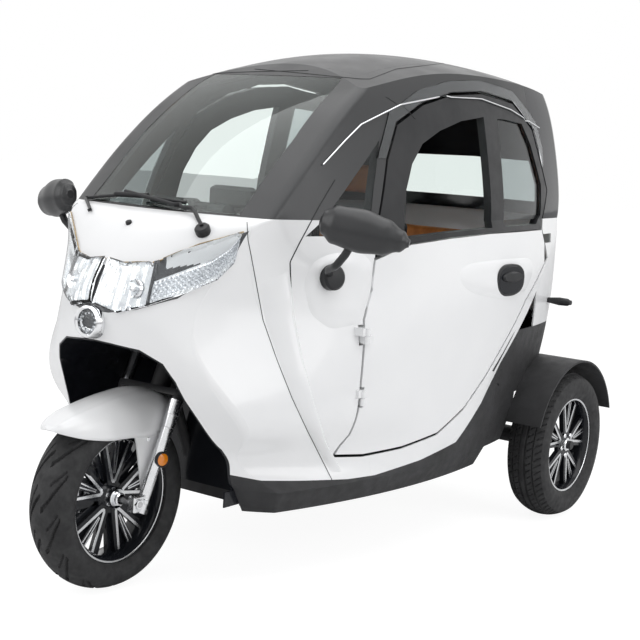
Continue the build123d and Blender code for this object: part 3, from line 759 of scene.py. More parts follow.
# Clamps: height up the steering axis and thickness
CLAMPS = ((0.300, 0.018), (0.398, 0.016))
CLAMP_HALF_X, CLAMP_HALF_Y = 0.027, 0.034
CALIPER_AT = (DISC_X, AXLE_Y + 0.060, FRONT_R + 0.062)
CALIPER_TURN = math.radians(42)


def steer_point(s, ahead=0.0, x=0.0):
    y = math.cos(RAKE) * (FORK_OFFSET - ahead) + math.sin(RAKE) * s
    z = FRONT_R - math.sin(RAKE) * (FORK_OFFSET - ahead) + math.cos(RAKE) * s
    return Vector((x, AXLE_Y + y, z))


def add_leg(shape, side):
    x = side * LEG_X
    for low, high, r, r_end, mark, steps, edge in LEG_RODS:
        ends = [steer_point(s, LEG_OFFSET, x) for s in (low, high)]
        shape.rod(*ends, r, mark, steps, edge, r_end)
    rounded_box(shape, (x, AXLE_Y + 0.010, FRONT_R - 0.002), (0.026, 0.050, 0.046), 0, None, 0.004)
    for inner, y, z, r in ((-0.014, 0.0, 0.0, 0.014), (0.010, 0.024, 0.002, 0.007)):
        ends = [(x + side * across, AXLE_Y + y, FRONT_R + z) for across in (inner, 0.019)]
        shape.rod(*ends, r, 3, 6)


def add_clamp(shape, s, thick):
    turn = Matrix.Translation(steer_point(s + thick / 2)) @ Matrix.Rotation(-RAKE, 4, "X")
    outline = []
    for cx, start in ((LEG_X, -90), (LEG_X, 0), (-LEG_X, 90), (-LEG_X, 180)):
        for k in range(7):
            c, d = polar(1.0, math.radians(start + 15 * k))
            outline.append((cx + CLAMP_HALF_X * c * 0.9, CLAMP_HALF_Y * d - 0.014))
    shape.prism(outline, -thick / 2, thick / 2, turn, 2, 0.002)


def add_fork():
    shape = Shape()
    for side in (-1, 1):
        add_leg(shape, side)
    for s, thick in CLAMPS:
        add_clamp(shape, s, thick)
    shape.rod(steer_point(0.296), steer_point(0.320), 0.022, 2, 32)
    caliper = Matrix.Translation(CALIPER_AT) @ Matrix.Rotation(CALIPER_TURN, 4, "X")
    rounded_box(shape, (0, 0, 0), (0.044, 0.080, 0.034), 4, caliper, 0.005)
    rounded_box(shape, (-0.024, 0, 0.008), (0.018, 0.060, 0.028), 4, caliper, 0.004)
    keys = ["alloy", "dark_chrome", "satin", "chrome", "plastic"]
    shape.object("fork_legs", keys, "steering", ("fork",), "alloy")


def wheels_and_fork():
    add_tyre("front_tread", "front_wheel", FRONT_AXLE, FRONT_R, FRONT_W, FRONT_RIM, front_groove,
             ("front_tyre",))
    add_rim("front_wheel_rim", "front_wheel", FRONT_AXLE, FRONT_RIM, FRONT_W - 0.020, 0.036, 0.010,
            ((1, 0.012), (-1, 0.012)), ("front_rim",), False)
    for side, sign in (("left", 1), ("right", -1)):
        centre = (sign * REAR_X, AXLE_Y + WHEELBASE, REAR_R)
        body = "rear_wheel_" + side
        add_tyre("rear_tread_" + side, body, centre, REAR_R, REAR_W, REAR_RIM, rear_groove,
                 ("rear_tyre_" + side,))
        add_rim("rear_wheel_rim_" + side, body, centre, REAR_RIM, REAR_W - 0.010, 0.038, 0.016,
                ((sign, 0.036),), ("rear_rim_" + side,), True)
    add_brake_disc()
    add_fork()


# Trim laid on the CAD surface, at places read off the photograph as its pixels
PHOTO_SIZE = 640
SENSOR = 36.0
MISS_REACH = 3.7
TREES = {}


def surface_of(names):
    if names not in TREES:
        verts, polygons = [], []
        for name in names:
            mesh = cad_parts[name].data
            first = len(verts)
            verts += [v.co.copy() for v in mesh.vertices]
            polygons += [tuple(first + i for i in p.vertices) for p in mesh.polygons]
        TREES[names] = BVHTree.FromPolygons(verts, polygons)
    return TREES[names]


def seen(spot, names, lift=0.0):
    """The place on a surface that the camera sees at a pixel of the photograph, or the nearest one."""
    tree = surface_of(names)
    x = (spot[0] / PHOTO_SIZE - 0.5 + CAMERA_SHIFT[0]) * SENSOR / CAMERA_LENS
    y = (0.5 - spot[1] / PHOTO_SIZE + CAMERA_SHIFT[1]) * SENSOR / CAMERA_LENS
    way = (camera_turn() @ Vector((x, y, -1))).normalized()
    start = Vector(CAMERA_AT)
    hit, normal, _, _ = tree.ray_cast(start, way)
    if hit is None:
        hit, normal, _, _ = tree.find_nearest(start + way * MISS_REACH)
    if normal.dot(way) > 0:
        normal = -normal
    return hit + normal * lift


def along_path(path, steps):
    """Even points along a run of places."""
    path = [Vector(p) for p in path]
    lengths = [0.0]
    for a, b in zip(path, path[1:]):
        lengths.append(lengths[-1] + (b - a).length)
    out = []
    k = 0
    for i in range(steps + 1):
        d = lengths[-1] * i / steps
        while k < len(path) - 2 and lengths[k + 1] < d:
            k += 1
        share = (d - lengths[k]) / (lengths[k + 1] - lengths[k] or 1.0)
        out.append(path[k].lerp(path[k + 1], share))
    return out


def flipped(points):
    return [Vector((-p.x, p.y, p.z)) for p in points]


def seen_path(path, names, steps, lift):
    return [seen(p, names, lift) for p in along_path(path, steps)]


def seen_line(shape, path, names, r, mark, steps, lift=0.0):
    """A bar along a line of the photograph, and its mirror image."""
    points = seen_path(path, names, steps, lift)
    shape.pipe(points, r, mark, 8)
    shape.pipe(flipped(points), r, mark, 8)


def seen_strip(low, high, names, across, up, lift, mark_at=lambda u, v: 0):
    """A sheet between two lines of the photograph and its mirror image, with a material for each cell."""
    a, b = along_path(low, across), along_path(high, across)
    rows = []
    for j in range(up + 1):
        v = j / up
        rows.append([seen(p.lerp(q, v), names, lift(i / across, v)) for i, (p, q) in enumerate(zip(a, b))])
    shape = Shape()
    shape.grid(rows)
    shape.grid([flipped(row) for row in rows])
    shape.marks = [mark_at((i + 0.5) / across, (j + 0.5) / up) for j in range(up) for i in range(across)] * 2
    return shape


# Headlamps: faceted centre, crystal wings, round lamp
LAMP_NODES = ("headlamps", "front_cowl")
LAMP_CENTRE_LOW = ((94, 303), (118, 313), (147, 306))
LAMP_CENTRE_HIGH = ((110, 258), (125, 263), (157, 262))
LAMP_WING_LOW = ((147, 306), (180, 295), (215, 280), (233, 262), (240, 240))
LAMP_WING_HIGH = ((157, 262), (180, 252), (205, 244), (230, 236), (243, 232))
ROUND_LAMP = (94, 322)
GOLD_UPPER = ((110, 259), (125, 264), (157, 262), (200, 244), (244, 232))
CENTRE_BULB = (135, 289)
COVER_LIFT = 0.0085
BULB_PROFILE = ((0.0, 0.026), (0.006, 0.024), (0.004, 0.018), (0.001, 0.010), (0.010, 0.008), (0.014, 0.0))
ROUND_BEZEL = ((-0.020, 0.043), (0.006, 0.043), (0.012, 0.040), (0.013, 0.036), (0.009, 0.032),
               (-0.002, 0.031))
ROUND_BOWL = ((-0.002, 0.031), (-0.006, 0.024), (-0.008, 0.014), (-0.006, 0.0))
ROUND_LENS = ((0.004, 0.031), (0.009, 0.022), (0.011, 0.010), (0.0115, 0.0))
ROUND_BEADS = 12
BEAD_RING = 0.021


def facets(u, v):
    """The steps of a many-sided reflector."""
    a = math.sin(u * 31.0) * 0.5 + 0.5
    b = math.sin(v * 15.0 + math.floor(u * 10) * 1.3) * 0.5 + 0.5
    return 0.0012 + 0.0026 * round(a * 3) / 3 * (0.4 + 0.6 * b)


def crystals(u, v):
    if v < 0.5:
        return 0.0020 + (0.0022 if (int(u * 44) + int(v * 14)) % 2 else 0.0)
    return 0.0012


def wing_mark(u, v):
    if v < 0.10 or 0.46 <= v < 0.52:
        return 2
    if v < 0.46:
        return 0
    return 3 if v > 0.80 - 0.5 * u and u > 0.12 else 1


def add_lamp_lines():
    trim = Shape()
    seen_line(trim, GOLD_UPPER, LAMP_NODES, 0.0015, 0, 50, 0.002)
    seen_line(trim, LAMP_CENTRE_LOW[1:] + LAMP_WING_LOW[1:], LAMP_NODES, 0.0015, 1, 60, 0.002)
    seen_line(trim, (LAMP_WING_HIGH[0], LAMP_WING_LOW[0]), LAMP_NODES, 0.0045, 2, 16, 0.003)
    bulb = seen(CENTRE_BULB, LAMP_NODES)
    for x in (-bulb.x, bulb.x):
        trim.lathe(BULB_PROFILE, toward((x, bulb.y, bulb.z), (0, -1, 0.25)), 3, 40)
    trim.object("lamp_lines", ["gold", "chrome", "smoke", "chrome"], "chassis")


def add_round_lamp():
    spot = seen(ROUND_LAMP, LAMP_NODES)
    lamp = Shape()
    at = toward((0, spot.y - 0.004, spot.z), (0, -1, 0.06))
    lamp.lathe(ROUND_BEZEL, at, 0, 64)
    lamp.lathe(ROUND_BOWL, at, 1, 48)
    lamp.lathe(ROUND_LENS, at, 2, 48)
    for k in range(ROUND_BEADS):
        spoke = polar(BEAD_RING, math.tau * k / ROUND_BEADS)
        lamp.rod(at @ Vector((-0.004, *spoke)), at @ Vector((0.002, *spoke)), 0.0034, 3, 10)
    lamp.object("round_lamp", ["chrome", "chrome", "clear", "crystal"], "chassis")


def add_headlamps():
    keys = ["crystal", "smoke", "reflector", "white"]
    wing = seen_strip(LAMP_WING_LOW, LAMP_WING_HIGH, LAMP_NODES, 88, 28, crystals, wing_mark)
    wing.object("lamp_wings", keys, "chassis", angle=10.0)
    centre = seen_strip(LAMP_CENTRE_LOW, LAMP_CENTRE_HIGH, LAMP_NODES, 60, 36, facets, lambda u, v: 2)
    centre.object("lamp_reflector", keys, "chassis", angle=8.0)
    add_lamp_lines()
    low, high = LAMP_CENTRE_LOW + LAMP_WING_LOW[1:], LAMP_CENTRE_HIGH + LAMP_WING_HIGH[1:]
    cover = seen_strip(low, high, LAMP_NODES, 60, 8, lambda u, v: COVER_LIFT)
    cover.object("lamp_cover", ["clear"], "chassis", thick=0.001)
    add_round_lamp()


# Wiper and washer nozzle
SCREEN_NODES = ("windscreen", "front_cowl", "pillars")
WIPER_BASE = (203, 231)
WIPER_ARM = ((203, 229), (194, 214), (160, 204), (128, 195))
WIPER_BLADE = ((80, 200), (118, 197), (150, 199), (187, 205))
WIPER_HUB = ((-0.006, 0.020), (0.010, 0.020), (0.015, 0.016), (0.016, 0.0))
NOZZLE = (129, 223)
NOZZLE_PROFILE = ((-0.004, 0.009), (0.006, 0.008), (0.009, 0.0))


def add_wiper():
    shape = Shape()
    base = seen(WIPER_BASE, SCREEN_NODES)
    shape.lathe(WIPER_HUB, toward(base, (0.1, -0.6, 0.8)), 0, 32)
    shape.pipe(seen_path(WIPER_ARM, SCREEN_NODES, 24, 0.014), 0.0055, 0, 10)
    shape.pipe(seen_path(WIPER_BLADE, SCREEN_NODES, 30, 0.007), 0.0045, 0, 8)
    shape.pipe(seen_path(WIPER_BLADE[1:3], SCREEN_NODES, 12, 0.013), 0.0060, 0, 8)
    shape.lathe(NOZZLE_PROFILE, toward(seen(NOZZLE, SCREEN_NODES), (0, -0.5, 0.9)), 0, 24)
    shape.object("wiper_arm", ["satin"], "chassis", ("wiper",), "dark_plastic")


# Mirrors, as rings of ellipses along their length
MIRROR_RINGS = ((-0.118, 0.010, 0.012), (-0.108, 0.024, 0.032), (-0.078, 0.037, 0.050),
                (-0.010, 0.044, 0.056), (0.050, 0.040, 0.047), (0.095, 0.026, 0.028), (0.116, 0.009, 0.010))
MIRROR_STEPS = 6
MIRROR_AT = (0.552, AXLE_Y + 0.300, 0.985)
MIRROR_YAW = math.radians(24)
MIRROR_TILT = math.radians(10)
MIRROR_FACE = 0.022
MIRROR_STALK = ((0.390, AXLE_Y + 0.388, 0.855), (0.425, AXLE_Y + 0.335, 0.875),
                (0.470, AXLE_Y + 0.302, 0.892), (0.505, AXLE_Y + 0.290, 0.925),
                (0.525, AXLE_Y + 0.288, 0.960))
MIRROR_FOOT = (0.402, AXLE_Y + 0.392, 0.850)
MIRROR_FOOT_PROFILE = ((-0.014, 0.035), (0.006, 0.034), (0.012, 0.028), (0.014, 0.0))


def mirror_stations():
    stations = []
    for (x0, w0, h0), (x1, w1, h1) in zip(MIRROR_RINGS, MIRROR_RINGS[1:]):
        for k in range(MIRROR_STEPS):
            t = k / MIRROR_STEPS
            t = t * t * (3 - 2 * t)
            stations.append((x0 + (x1 - x0) * k / MIRROR_STEPS, w0 + (w1 - w0) * t, h0 + (h1 - h0) * t))
    return stations + [MIRROR_RINGS[-1]]


def add_mirrors():
    shape = Shape()
    for side in (1, -1):
        turn = Matrix.Rotation(MIRROR_YAW * side, 4, "Z") @ Matrix.Rotation(MIRROR_TILT * side, 4, "Y")
        place = Matrix.Translation((MIRROR_AT[0] * side, MIRROR_AT[1], MIRROR_AT[2])) @ turn
        rings = []
        for x, w, h in mirror_stations():
            rings.append([(x * side, min(y, MIRROR_FACE), z) for y, z in oval(w, h, 40)])
        shape.tube(rings, 0, place)
        flat = place @ Matrix(((side, 0, 0, 0), (0, 0, 1, 0), (0, 1, 0, 0), (0, 0, 0, 1)))
        glass = oval(0.094, 0.041, 48, -0.006)
        shape.prism(glass, MIRROR_FACE - 0.002, MIRROR_FACE + 0.0012, flat, 1, 0.0006)
        stalk = [Vector((x * side, y, z)) for x, y, z in MIRROR_STALK]
        shape.pipe(along_path(stalk, 20), 0.0105, 2, 14)
        foot = (MIRROR_FOOT[0] * side, MIRROR_FOOT[1], MIRROR_FOOT[2])
        shape.lathe(MIRROR_FOOT_PROFILE, toward(foot, (side, -0.35, 0.1)), 2, 40)
    keys = ["grey", "chrome", "satin"]
    shape.object("mirror_shells", keys, "chassis", ("mirrors",), "grey_paint", angle=40.0)


# Front fender, from its tip to its rear: crown's Y and Z, lower edge's Y and Z, share of the width
FENDER_HALF = 0.075
FENDER_WALL = 0.0035
FENDER_STATIONS = (
    (-0.225, 0.450, -0.224, 0.448, 0.20), (-0.212, 0.466, -0.205, 0.441, 0.62),
    (-0.169, 0.487, -0.160, 0.429, 0.90), (-0.100, 0.504, -0.090, 0.417, 1.00),
    (-0.040, 0.516, -0.040, 0.414, 1.00), (0.010, 0.523, 0.003, 0.412, 1.00),
    (0.063, 0.528, 0.050, 0.408, 1.00), (0.120, 0.521, 0.105, 0.408, 1.00),
    (0.156, 0.506, 0.136, 0.420, 0.97), (0.176, 0.491, 0.150, 0.436, 0.94),
)
FENDER_BRACKET = ((0.012, 0.420), (0.022, 0.391), (0.048, 0.268), (0.056, 0.262), (0.072, 0.262),
                  (0.080, 0.268), (0.106, 0.392), (0.112, 0.420))
BRACKET_BOLTS = ((0.064, 0.285), (0.062, 0.400))
MARKER_RIM = ((-0.004, 0.021), (0.005, 0.021), (0.007, 0.018), (0.005, 0.0165))
MARKER_LENS = ((0.005, 0.0165), (0.0075, 0.010), (0.008, 0.0))


def through(a, b, c, d, t):
    """A place between b and c on the smooth curve through four values."""
    square, cube = 2 * a - 5 * b + 4 * c - d, 3 * b - a - 3 * c + d
    return 0.5 * (2 * b + (c - a) * t + square * t * t + cube * t ** 3)


def smooth_stations(stations, steps):
    """More stations on a curve through the given ones."""
    out = []
    last = len(stations) - 1
    for i in range(last):
        near = [stations[max(0, min(last, i + d))] for d in (-1, 0, 1, 2)]
        for k in range(steps):
            out.append(tuple(through(*values, k / steps) for values in zip(*near)))
    out.append(stations[-1])
    return out


def add_front_fender():
    shape = Shape()
    rows = []
    for ty, tz, ly, lz, wide in smooth_stations(FENDER_STATIONS, 8):
        row = []
        for k in range(-24, 25):
            a = abs(k) / 24 * math.pi / 2
            across = math.sin(a) ** 0.75
            down = 1 - math.cos(a) ** 0.75
            crease = 0.0022 * math.exp(-((across - 0.55) / 0.10) ** 2)
            x = math.copysign(FENDER_HALF * wide * across, k)
            row.append((x, AXLE_Y + ty + (ly - ty) * down, tz + (lz - tz) * down + crease))
        rows.append(row)
    shape.grid(rows)
    shape.object("fender_shell", ["white"], "steering", ("front_fender",), "white_paint", thick=FENDER_WALL)


def add_fender_stays():
    stay = Shape()
    for side in (-1, 1):
        turn = sideways(side, (0.0685 * side, AXLE_Y, 0))
        stay.prism(FENDER_BRACKET, 0.0, 0.0045, turn, 0, 0.0015)
        for y, z in BRACKET_BOLTS:
            stay.rod((side * 0.072, AXLE_Y + y, z), (side * 0.077, AXLE_Y + y, z), 0.006, 1, 6)
    stay.object("fender_stays", ["white", "chrome"], "steering")


def add_side_reflectors():
    marker = Shape()
    for side in (-1, 1):
        place = toward(steer_point(0.130, LEG_OFFSET, side * (LEG_X + 0.016)), (side, -0.2, 0))
        marker.lathe(MARKER_RIM, place, 0, 36)
        marker.lathe(MARKER_LENS, place, 1, 36)
    marker.object("side_reflectors", ["satin", "amber"], "steering")


# Body trim: seam lines, a dark bar of painted shade along the flare's step, pods, handles, visor strips
BODY_NODES = ("side_panels", "front_cowl", "door_panel_left", "lower_bands", "rear_body", "pillars",
              "rear_frame", "roof_panel", "quarter_glass", "door_frame_left", "sills")
COWL_SEAM = ((247, 222), (248, 240), (251, 255), (263, 320), (277, 360), (292, 398), (307, 430), (322, 460),
             (332, 480))
# The flare line is painted shade: a dark bar laid where the flare steps in and the surface falls into shade
FLARE_SHADE_LINE = ((335, 180), (320, 205), (300, 242), (290, 262), (291, 290))
ROOF_SEAM = ((255, 69), (300, 73), (361, 79), (370, 79), (396, 69), (446, 63), (492, 69), (522, 82))
VISOR_TOP = ((322, 165), (345, 140), (360, 125), (400, 105), (440, 97), (480, 99), (510, 110), (538, 128))
POD_EDGE = ((303, 283), (312, 262), (330, 253), (360, 251), (373, 262), (371, 290), (361, 324), (330, 330),
            (310, 315))
POD_RISE = 0.011
HANDLE_CENTRE = (508, 280)
HANDLE_HALF = (0.090, 0.050)
# Plates of a handle: share of its size, from, to, material, chamfer
HANDLE_PLATES = ((1.0, -0.012, 0.005, 0, 0.003), (0.86, 0.004, 0.0062, 1, 0.001))
HANDLE_POWER = 0.8
HANDLE_PAD = ((458, 270), (470, 263), (500, 259), (532, 257), (534, 272), (526, 292), (503, 300), (472, 294),
              (460, 284))
HANDLE_PAD_RISE = 0.007
MOUND_STEPS = 72
MOUND_RINGS = 14


def mound(shape, edge, names, height, sides=(1, -1)):
    """A raised pad with a soft edge, on one side or both."""
    line = along_path(edge + (edge[0],), MOUND_STEPS)[:-1]
    middle = sum(line, Vector((0, 0))) / len(line)
    rounded = []
    for i in range(MOUND_STEPS):
        rounded.append(sum((line[(i + d) % MOUND_STEPS] for d in range(-2, 3)), Vector((0, 0))) / 5)
    rows = []
    for j in range(MOUND_RINGS + 1):
        v = j / MOUND_RINGS
        rise = height * (1 - v ** 5) - 0.0006 * v ** 5
        rows.append([seen(middle.lerp(p, max(v, 0.001)), names, rise) for p in rounded])
    for side in sides:
        shape.grid(rows if side > 0 else [flipped(row) for row in rows], 0, True)


def add_door_handle(name, side):
    pad = Shape()
    mound(pad, HANDLE_PAD, ("door_panel_left",), HANDLE_PAD_RISE, (side,))
    pad.object("handle_pad_" + name, ["white"], "door_" + name, angle=60.0)
    at = seen(HANDLE_CENTRE, ("door_panel_left",), HANDLE_PAD_RISE)
    place = sideways(side, (at.x * side, at.y, at.z))
    shape = Shape()
    for grow, low, high, mark, edge in HANDLE_PLATES:
        outline = oval(HANDLE_HALF[0] * grow, HANDLE_HALF[1] * grow, 64, power=HANDLE_POWER)
        shape.prism(outline, low, high, place, mark, edge)
    shape.prism(oval(0.062, 0.017, 40, 0.0, 0.010), 0.006, 0.014, place, 2, 0.005)
    shape.object("door_handle_" + name, ["satin", "black", "satin"], "door_" + name)


def add_body_trim():
    seam_and_shade_lines = Shape()
    # Real seam lines on the cowl and roof, and along the flare a dark bar that paints the shade of its step
    for line, r, steps in ((COWL_SEAM, 0.0011, 90), (FLARE_SHADE_LINE, 0.0018, 50), (ROOF_SEAM, 0.0013, 90)):
        seen_line(seam_and_shade_lines, line, BODY_NODES, r, 0, steps)
    seam_and_shade_lines.object("body_seams_and_painted_shade", ["satin"], "chassis")
    pods = Shape()
    mound(pods, POD_EDGE, ("side_panels", "front_cowl", "door_panel_left"), POD_RISE)
    pods.object("mirror_pods", ["white"], "chassis", angle=60.0)
    strips = Shape()
    seen_line(strips, VISOR_TOP, BODY_NODES, 0.0022, 0, 80, 0.004)
    strips.object("visor_strips", ["chrome"], "chassis")
    for name, side in (("left", 1), ("right", -1)):
        add_door_handle(name, side)


# The raised ridge between the cowl seam and the flare, and the rolls of the rear tub
RIDGE_INNER = ((258, 285), (266, 325), (279, 362), (293, 398), (308, 430), (321, 455), (330, 472))
RIDGE_OUTER = ((290, 270), (295, 318), (303, 360), (313, 400), (325, 438), (335, 460), (342, 472))
RIDGE_HEIGHT = 0.016
RIDGE_CREST = 0.78
# Rolls: height and radius
TUB_ROLLS = ((0.590, 0.016), (0.556, 0.020), (0.518, 0.020))
TUB_MIDDLE = 1.45
TUB_STEPS = 90
TUB_FROM, TUB_SWEEP = 10, 160
TUB_REACH = 1.2
TUB_HALF = 0.385
TUB_JUMP = 0.060


def ridge_rise(u, v):
    ends = min(1.0, u / 0.12, (1 - u) / 0.08)
    if v < RIDGE_CREST:
        across = math.sin(v / RIDGE_CREST * math.pi / 2)
    else:
        across = math.cos((v - RIDGE_CREST) / 0.22 * math.pi / 2)
    return RIDGE_HEIGHT * across * ends ** 0.7 - 0.0004 * (1 - across)


def add_ridges():
    names = ("side_panels", "front_cowl", "lower_bands")
    shape = seen_strip(RIDGE_INNER, RIDGE_OUTER, names, 70, 24, ridge_rise)
    shape.object("flare_ridges", ["white"], "chassis", angle=70.0)


def add_tub_rolls():
    tree = surface_of(("rear_tub",))
    shape = Shape()
    for z, r in TUB_ROLLS:
        points = []
        for k in range(TUB_STEPS + 1):
            way = Vector((*polar(1.0, math.radians(TUB_FROM + TUB_SWEEP * k / TUB_STEPS)), 0))
            hit = tree.ray_cast(Vector((0, AXLE_Y + TUB_MIDDLE, z)) + way * TUB_REACH, -way)[0]
            at = hit - way * r * 0.45 if hit is not None else None
            if at and abs(hit.x) < TUB_HALF and (not points or (at - points[-1]).length < TUB_JUMP):
                points.append(at)
        if len(points) > 8:
            shape.pipe(points, r, 0, 14)
    shape.object("tub_rolls", ["plastic"], "chassis")


# Springs of the rear shocks, as shares of the shock's length
DAMPER_TOP = 0.55
SEATS = (0.10, 0.90)
COIL_FROM, COIL_SHARE = 0.12, 0.76
COIL_TURNS, COIL_STEPS = 7.0, 168
COIL_R, COIL_WIRE = 0.0160, 0.0032


def island_ends(name, side):
    """Middle of the lowest and highest points of a node on one side."""
    points = [v.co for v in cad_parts[name].data.vertices if v.co.x * side > 0]
    ends = []
    for level in (min(p.z for p in points), max(p.z for p in points)):
        near = [p for p in points if abs(p.z - level) < 0.012]
        ends.append(sum(near, Vector()) / len(near))
    return ends


def add_springs():
    shape = Shape()
    for side in (-1, 1):
        low, high = island_ends("rear_shocks", side)
        way = high - low
        u = way.cross(Vector((1, 0, 0))).normalized()
        v = way.normalized().cross(u)
        shape.rod(low, low.lerp(high, DAMPER_TOP), 0.0135, 0, 24)
        shape.rod(low.lerp(high, 0.5), high, 0.0080, 1, 24)
        for t in SEATS:
            shape.rod(low.lerp(high, t - 0.02), low.lerp(high, t + 0.02), 0.0195, 0, 32)
        coil = []
        for k in range(COIL_STEPS + 1):
            a = math.tau * COIL_TURNS * k / COIL_STEPS
            middle = low.lerp(high, COIL_FROM + COIL_SHARE * k / COIL_STEPS)
            coil.append(middle + (u * math.cos(a) + v * math.sin(a)) * COIL_R)
        shape.pipe(coil, COIL_WIRE, 2, 8)
    shape.object("shock_springs", ["satin", "chrome", "steel"], "chassis", ("rear_shocks",), "steel")


# Handlebar controls
BAR_STEER = 0.840
BAR_SHIFT = Vector((0, 0.060, 0.010))
GRIP_FROM, GRIP_LENGTH = 0.185, 0.108
GRIP_RIBS = 36
GRIP_R, RIB_RISE = 0.0168, 0.0012


def add_controls():
    shape = Shape()
    bar = steer_point(BAR_STEER) + BAR_SHIFT
    for side in (-1, 1):
        ribs = []
        for k in range(GRIP_RIBS + 1):
            x = GRIP_FROM + GRIP_LENGTH * k / GRIP_RIBS
            ribs.append((x * side, GRIP_R + (RIB_RISE if k % 2 else 0.0)))
        profile = [(ribs[0][0], 0.010)] + ribs + [(ribs[-1][0], 0.0)]
        shape.lathe(profile, Matrix.Translation((0, bar.y, bar.z)), 0, 32)
        rounded_box(shape, (side * 0.155, bar.y - 0.004, bar.z), (0.046, 0.040, 0.038), 1, None, 0.006)
        shape.pipe([(side * 0.150, bar.y - 0.020, bar.z), (side * 0.180, bar.y - 0.048, bar.z - 0.004),
                    (side * 0.285, bar.y - 0.046, bar.z - 0.006)], 0.0055, 2, 12)
    rounded_box(shape, (0, bar.y, bar.z + 0.034), (0.150, 0.052, 0.060), 1, None, 0.010)
    rounded_box(shape, (0, bar.y + 0.027, bar.z + 0.036), (0.122, 0.004, 0.042), 3, None, 0.0015)
    shape.object("bar_controls", ["satin", "plastic", "alloy", "black"], "steering")


# Seats: padded by simulation
PAD_VOXEL = 0.007
PAD_SHRINK = 0.011
PAD_CAP = 0.013
PAD_PRESSURE = 4.0
PAD_FRAMES = 20
SEAM_DEPTH, SEAM_HALF = 0.006, 0.0045
CHANNEL_PITCH, CHANNEL_HALF = 0.085, 0.055
PADS = (
    # name, x half, y from, y to, z from, z to, seam at x, node
    ("driver_cushion", 0.210, 0.680, 1.060, 0.542, 0.620, 0.140, "seat_cushions"),
    ("bench_cushion", 0.330, 1.180, 1.540, 0.534, 0.620, 0.240, "seat_cushions"),
    ("driver_back", 0.200, 1.062, 1.130, 0.628, 0.990, 0.130, "seat_backs"),
    ("driver_headrest", 0.110, 1.070, 1.125, 1.040, 1.150, 0.200, "seat_backs"),
    ("bench_back", 0.330, 1.542, 1.610, 0.628, 0.960, 0.240, "seat_backs"),
)


def pad_start(name, half, y0, y1, z0, z1):
    """A rounded block a little smaller than the pad."""
    mesh = bpy.data.meshes.new(name)
    work = bmesh.new()
    bmesh.ops.create_cube(work, size=1.0)
    size = Vector((2 * half, y1 - y0, z1 - z0)) - Vector((1, 1, 1)) * 2 * PAD_SHRINK
    middle = Vector((0, AXLE_Y + (y0 + y1) / 2, (z0 + z1) / 2))
    for v in work.verts:
        v.co = Vector((v.co.x * size.x, v.co.y * size.y, v.co.z * size.z)) + middle
    edges = work.edges[:] + work.verts[:]
    bmesh.ops.bevel(work, geom=edges, offset=min(size) * 0.42, segments=5, profile=0.6, affect="EDGES")
    work.to_mesh(mesh)
    work.free()
    return linked(name, mesh)


def applied(pad):
    """The mesh with its modifiers worked in."""
    graph = bpy.context.evaluated_depsgraph_get()
    mesh = bpy.data.meshes.new_from_object(pad.evaluated_get(graph))
    pad.modifiers.clear()
    pad.data = mesh


def inflate(pad):
    """Cloth under pressure, which moves no point by more than the cap."""
    start = [v.co.copy() for v in pad.data.vertices]
    cloth = pad.modifiers.new("cloth", "CLOTH")
    cloth.settings.use_pressure = True
    cloth.settings.uniform_pressure_force = PAD_PRESSURE
    cloth.settings.effector_weights.gravity = 0.0
    cloth.settings.quality = 4
    cloth.point_cache.frame_end = PAD_FRAMES
    for step in range(1, PAD_FRAMES + 1):
        bpy.context.scene.frame_set(step)
    graph = bpy.context.evaluated_depsgraph_get()
    moved = [v.co.copy() for v in pad.evaluated_get(graph).data.vertices]
    pad.modifiers.clear()
    for v, a, b in zip(pad.data.vertices, start, moved):
        d = b - a
        v.co = a + d * min(1.0, PAD_CAP / (d.length or 1.0))
    bpy.context.scene.frame_set(1)


def press_seams(mesh, half, y0, y1, z0, z1, seam):
    """A groove along each seam, and channels across the middle of the wide pads."""
    upright = (z1 - z0) > (y1 - y0)
    for v in mesh.vertices:
        groove = math.exp(-((abs(v.co.x) - seam) / SEAM_HALF) ** 2)
        pitch = (v.co.z if upright else v.co.y - AXLE_Y) / CHANNEL_PITCH
        channel = 0.0
        if abs(v.co.x) < seam and half > 0.15:
            channel = math.exp(-((pitch - round(pitch)) / CHANNEL_HALF) ** 2)
        pull = SEAM_DEPTH * max(groove, 0.6 * channel)
        if upright:
            v.co.y += pull if v.co.y < AXLE_Y + (y0 + y1) / 2 else -pull
        else:
            v.co.z -= pull if v.co.z > (z0 + z1) / 2 else 0.0


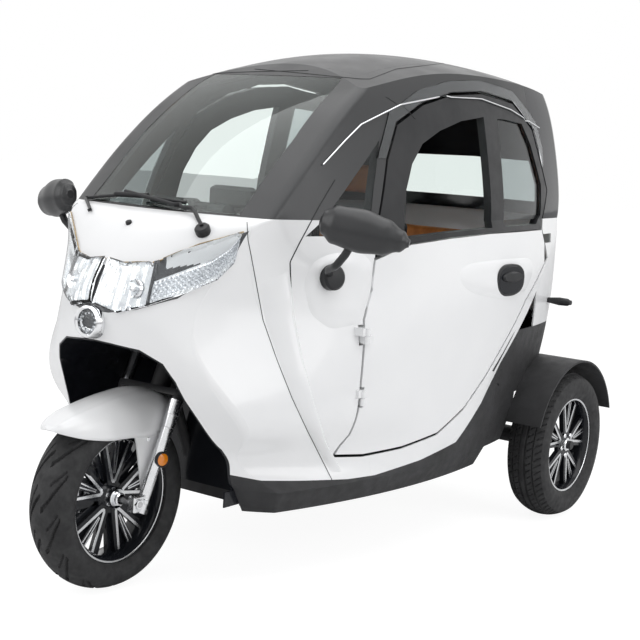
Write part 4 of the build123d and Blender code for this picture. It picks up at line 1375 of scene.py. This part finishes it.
def add_pad(name, half, y0, y1, z0, z1, seam, node):
    pad = pad_start(name, half, y0, y1, z0, z1)
    remesh = pad.modifiers.new("remesh", "REMESH")
    remesh.mode = "VOXEL"
    remesh.voxel_size = PAD_VOXEL
    applied(pad)
    inflate(pad)
    finer = pad.modifiers.new("finer", "SUBSURF")
    finer.levels = finer.render_levels = 1
    applied(pad)
    mesh = pad.data
    press_seams(mesh, half, y0, y1, z0, z1, seam)
    mesh.materials.clear()
    mesh.materials.append(MATERIALS["leather"])
    mesh.materials.append(MATERIALS["black_leather"])
    for face in mesh.polygons:
        face.material_index = 1 if abs(face.center.x) > seam else 0
        face.use_smooth = True
    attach(pad, "chassis")
    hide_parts(node)


def add_seats():
    for row in PADS:
        add_pad(*row)


# Door jamb lining and rear indicators
JAMB_INNER = ((470, 396), (484, 375), (508, 331), (522, 303))
JAMB_OUTER = ((484, 402), (499, 380), (519, 340), (531, 309))
JAMB_DEPTH = 0.022
INDICATOR_Y, INDICATOR_Z = 1.640, 0.725
INDICATOR_PROFILE = ((0.392, 0.0), (0.398, 0.007), (0.440, 0.010), (0.470, 0.0135), (0.500, 0.0125),
                     (0.512, 0.006), (0.514, 0.0))


def add_jamb_lining():
    names = ("door_panel_left", "lower_bands", "rear_body", "rear_tub")
    shape = seen_strip(JAMB_INNER, JAMB_OUTER, names, 50, 6, lambda u, v: -JAMB_DEPTH)
    shape.object("jamb_lining", ["satin"], "chassis", thick=0.002)


def add_indicators():
    shape = Shape()
    y = AXLE_Y + INDICATOR_Y
    for side in (-1, 1):
        stem = [(x * side, r) for x, r in INDICATOR_PROFILE]
        shape.lathe(stem, Matrix.Translation((0, y, INDICATOR_Z)), 0, 28)
        lens = Matrix.Translation((side * 0.482, y + 0.0115, INDICATOR_Z))
        rounded_box(shape, (0, 0, 0), (0.040, 0.006, 0.014), 1, lens, 0.002)
    shape.object("rear_indicators", ["satin", "amber"], "chassis")


bpy.context.scene.view_settings.view_transform = "Standard"
add_camera()
add_world()
add_lights()
add_floor()
finish_nodes()
wheels_and_fork()
add_headlamps()
add_wiper()
add_mirrors()
add_front_fender()
add_fender_stays()
add_side_reflectors()
add_body_trim()
add_ridges()
add_tub_rolls()
add_springs()
add_controls()
add_jamb_lining()
add_indicators()
add_seats()
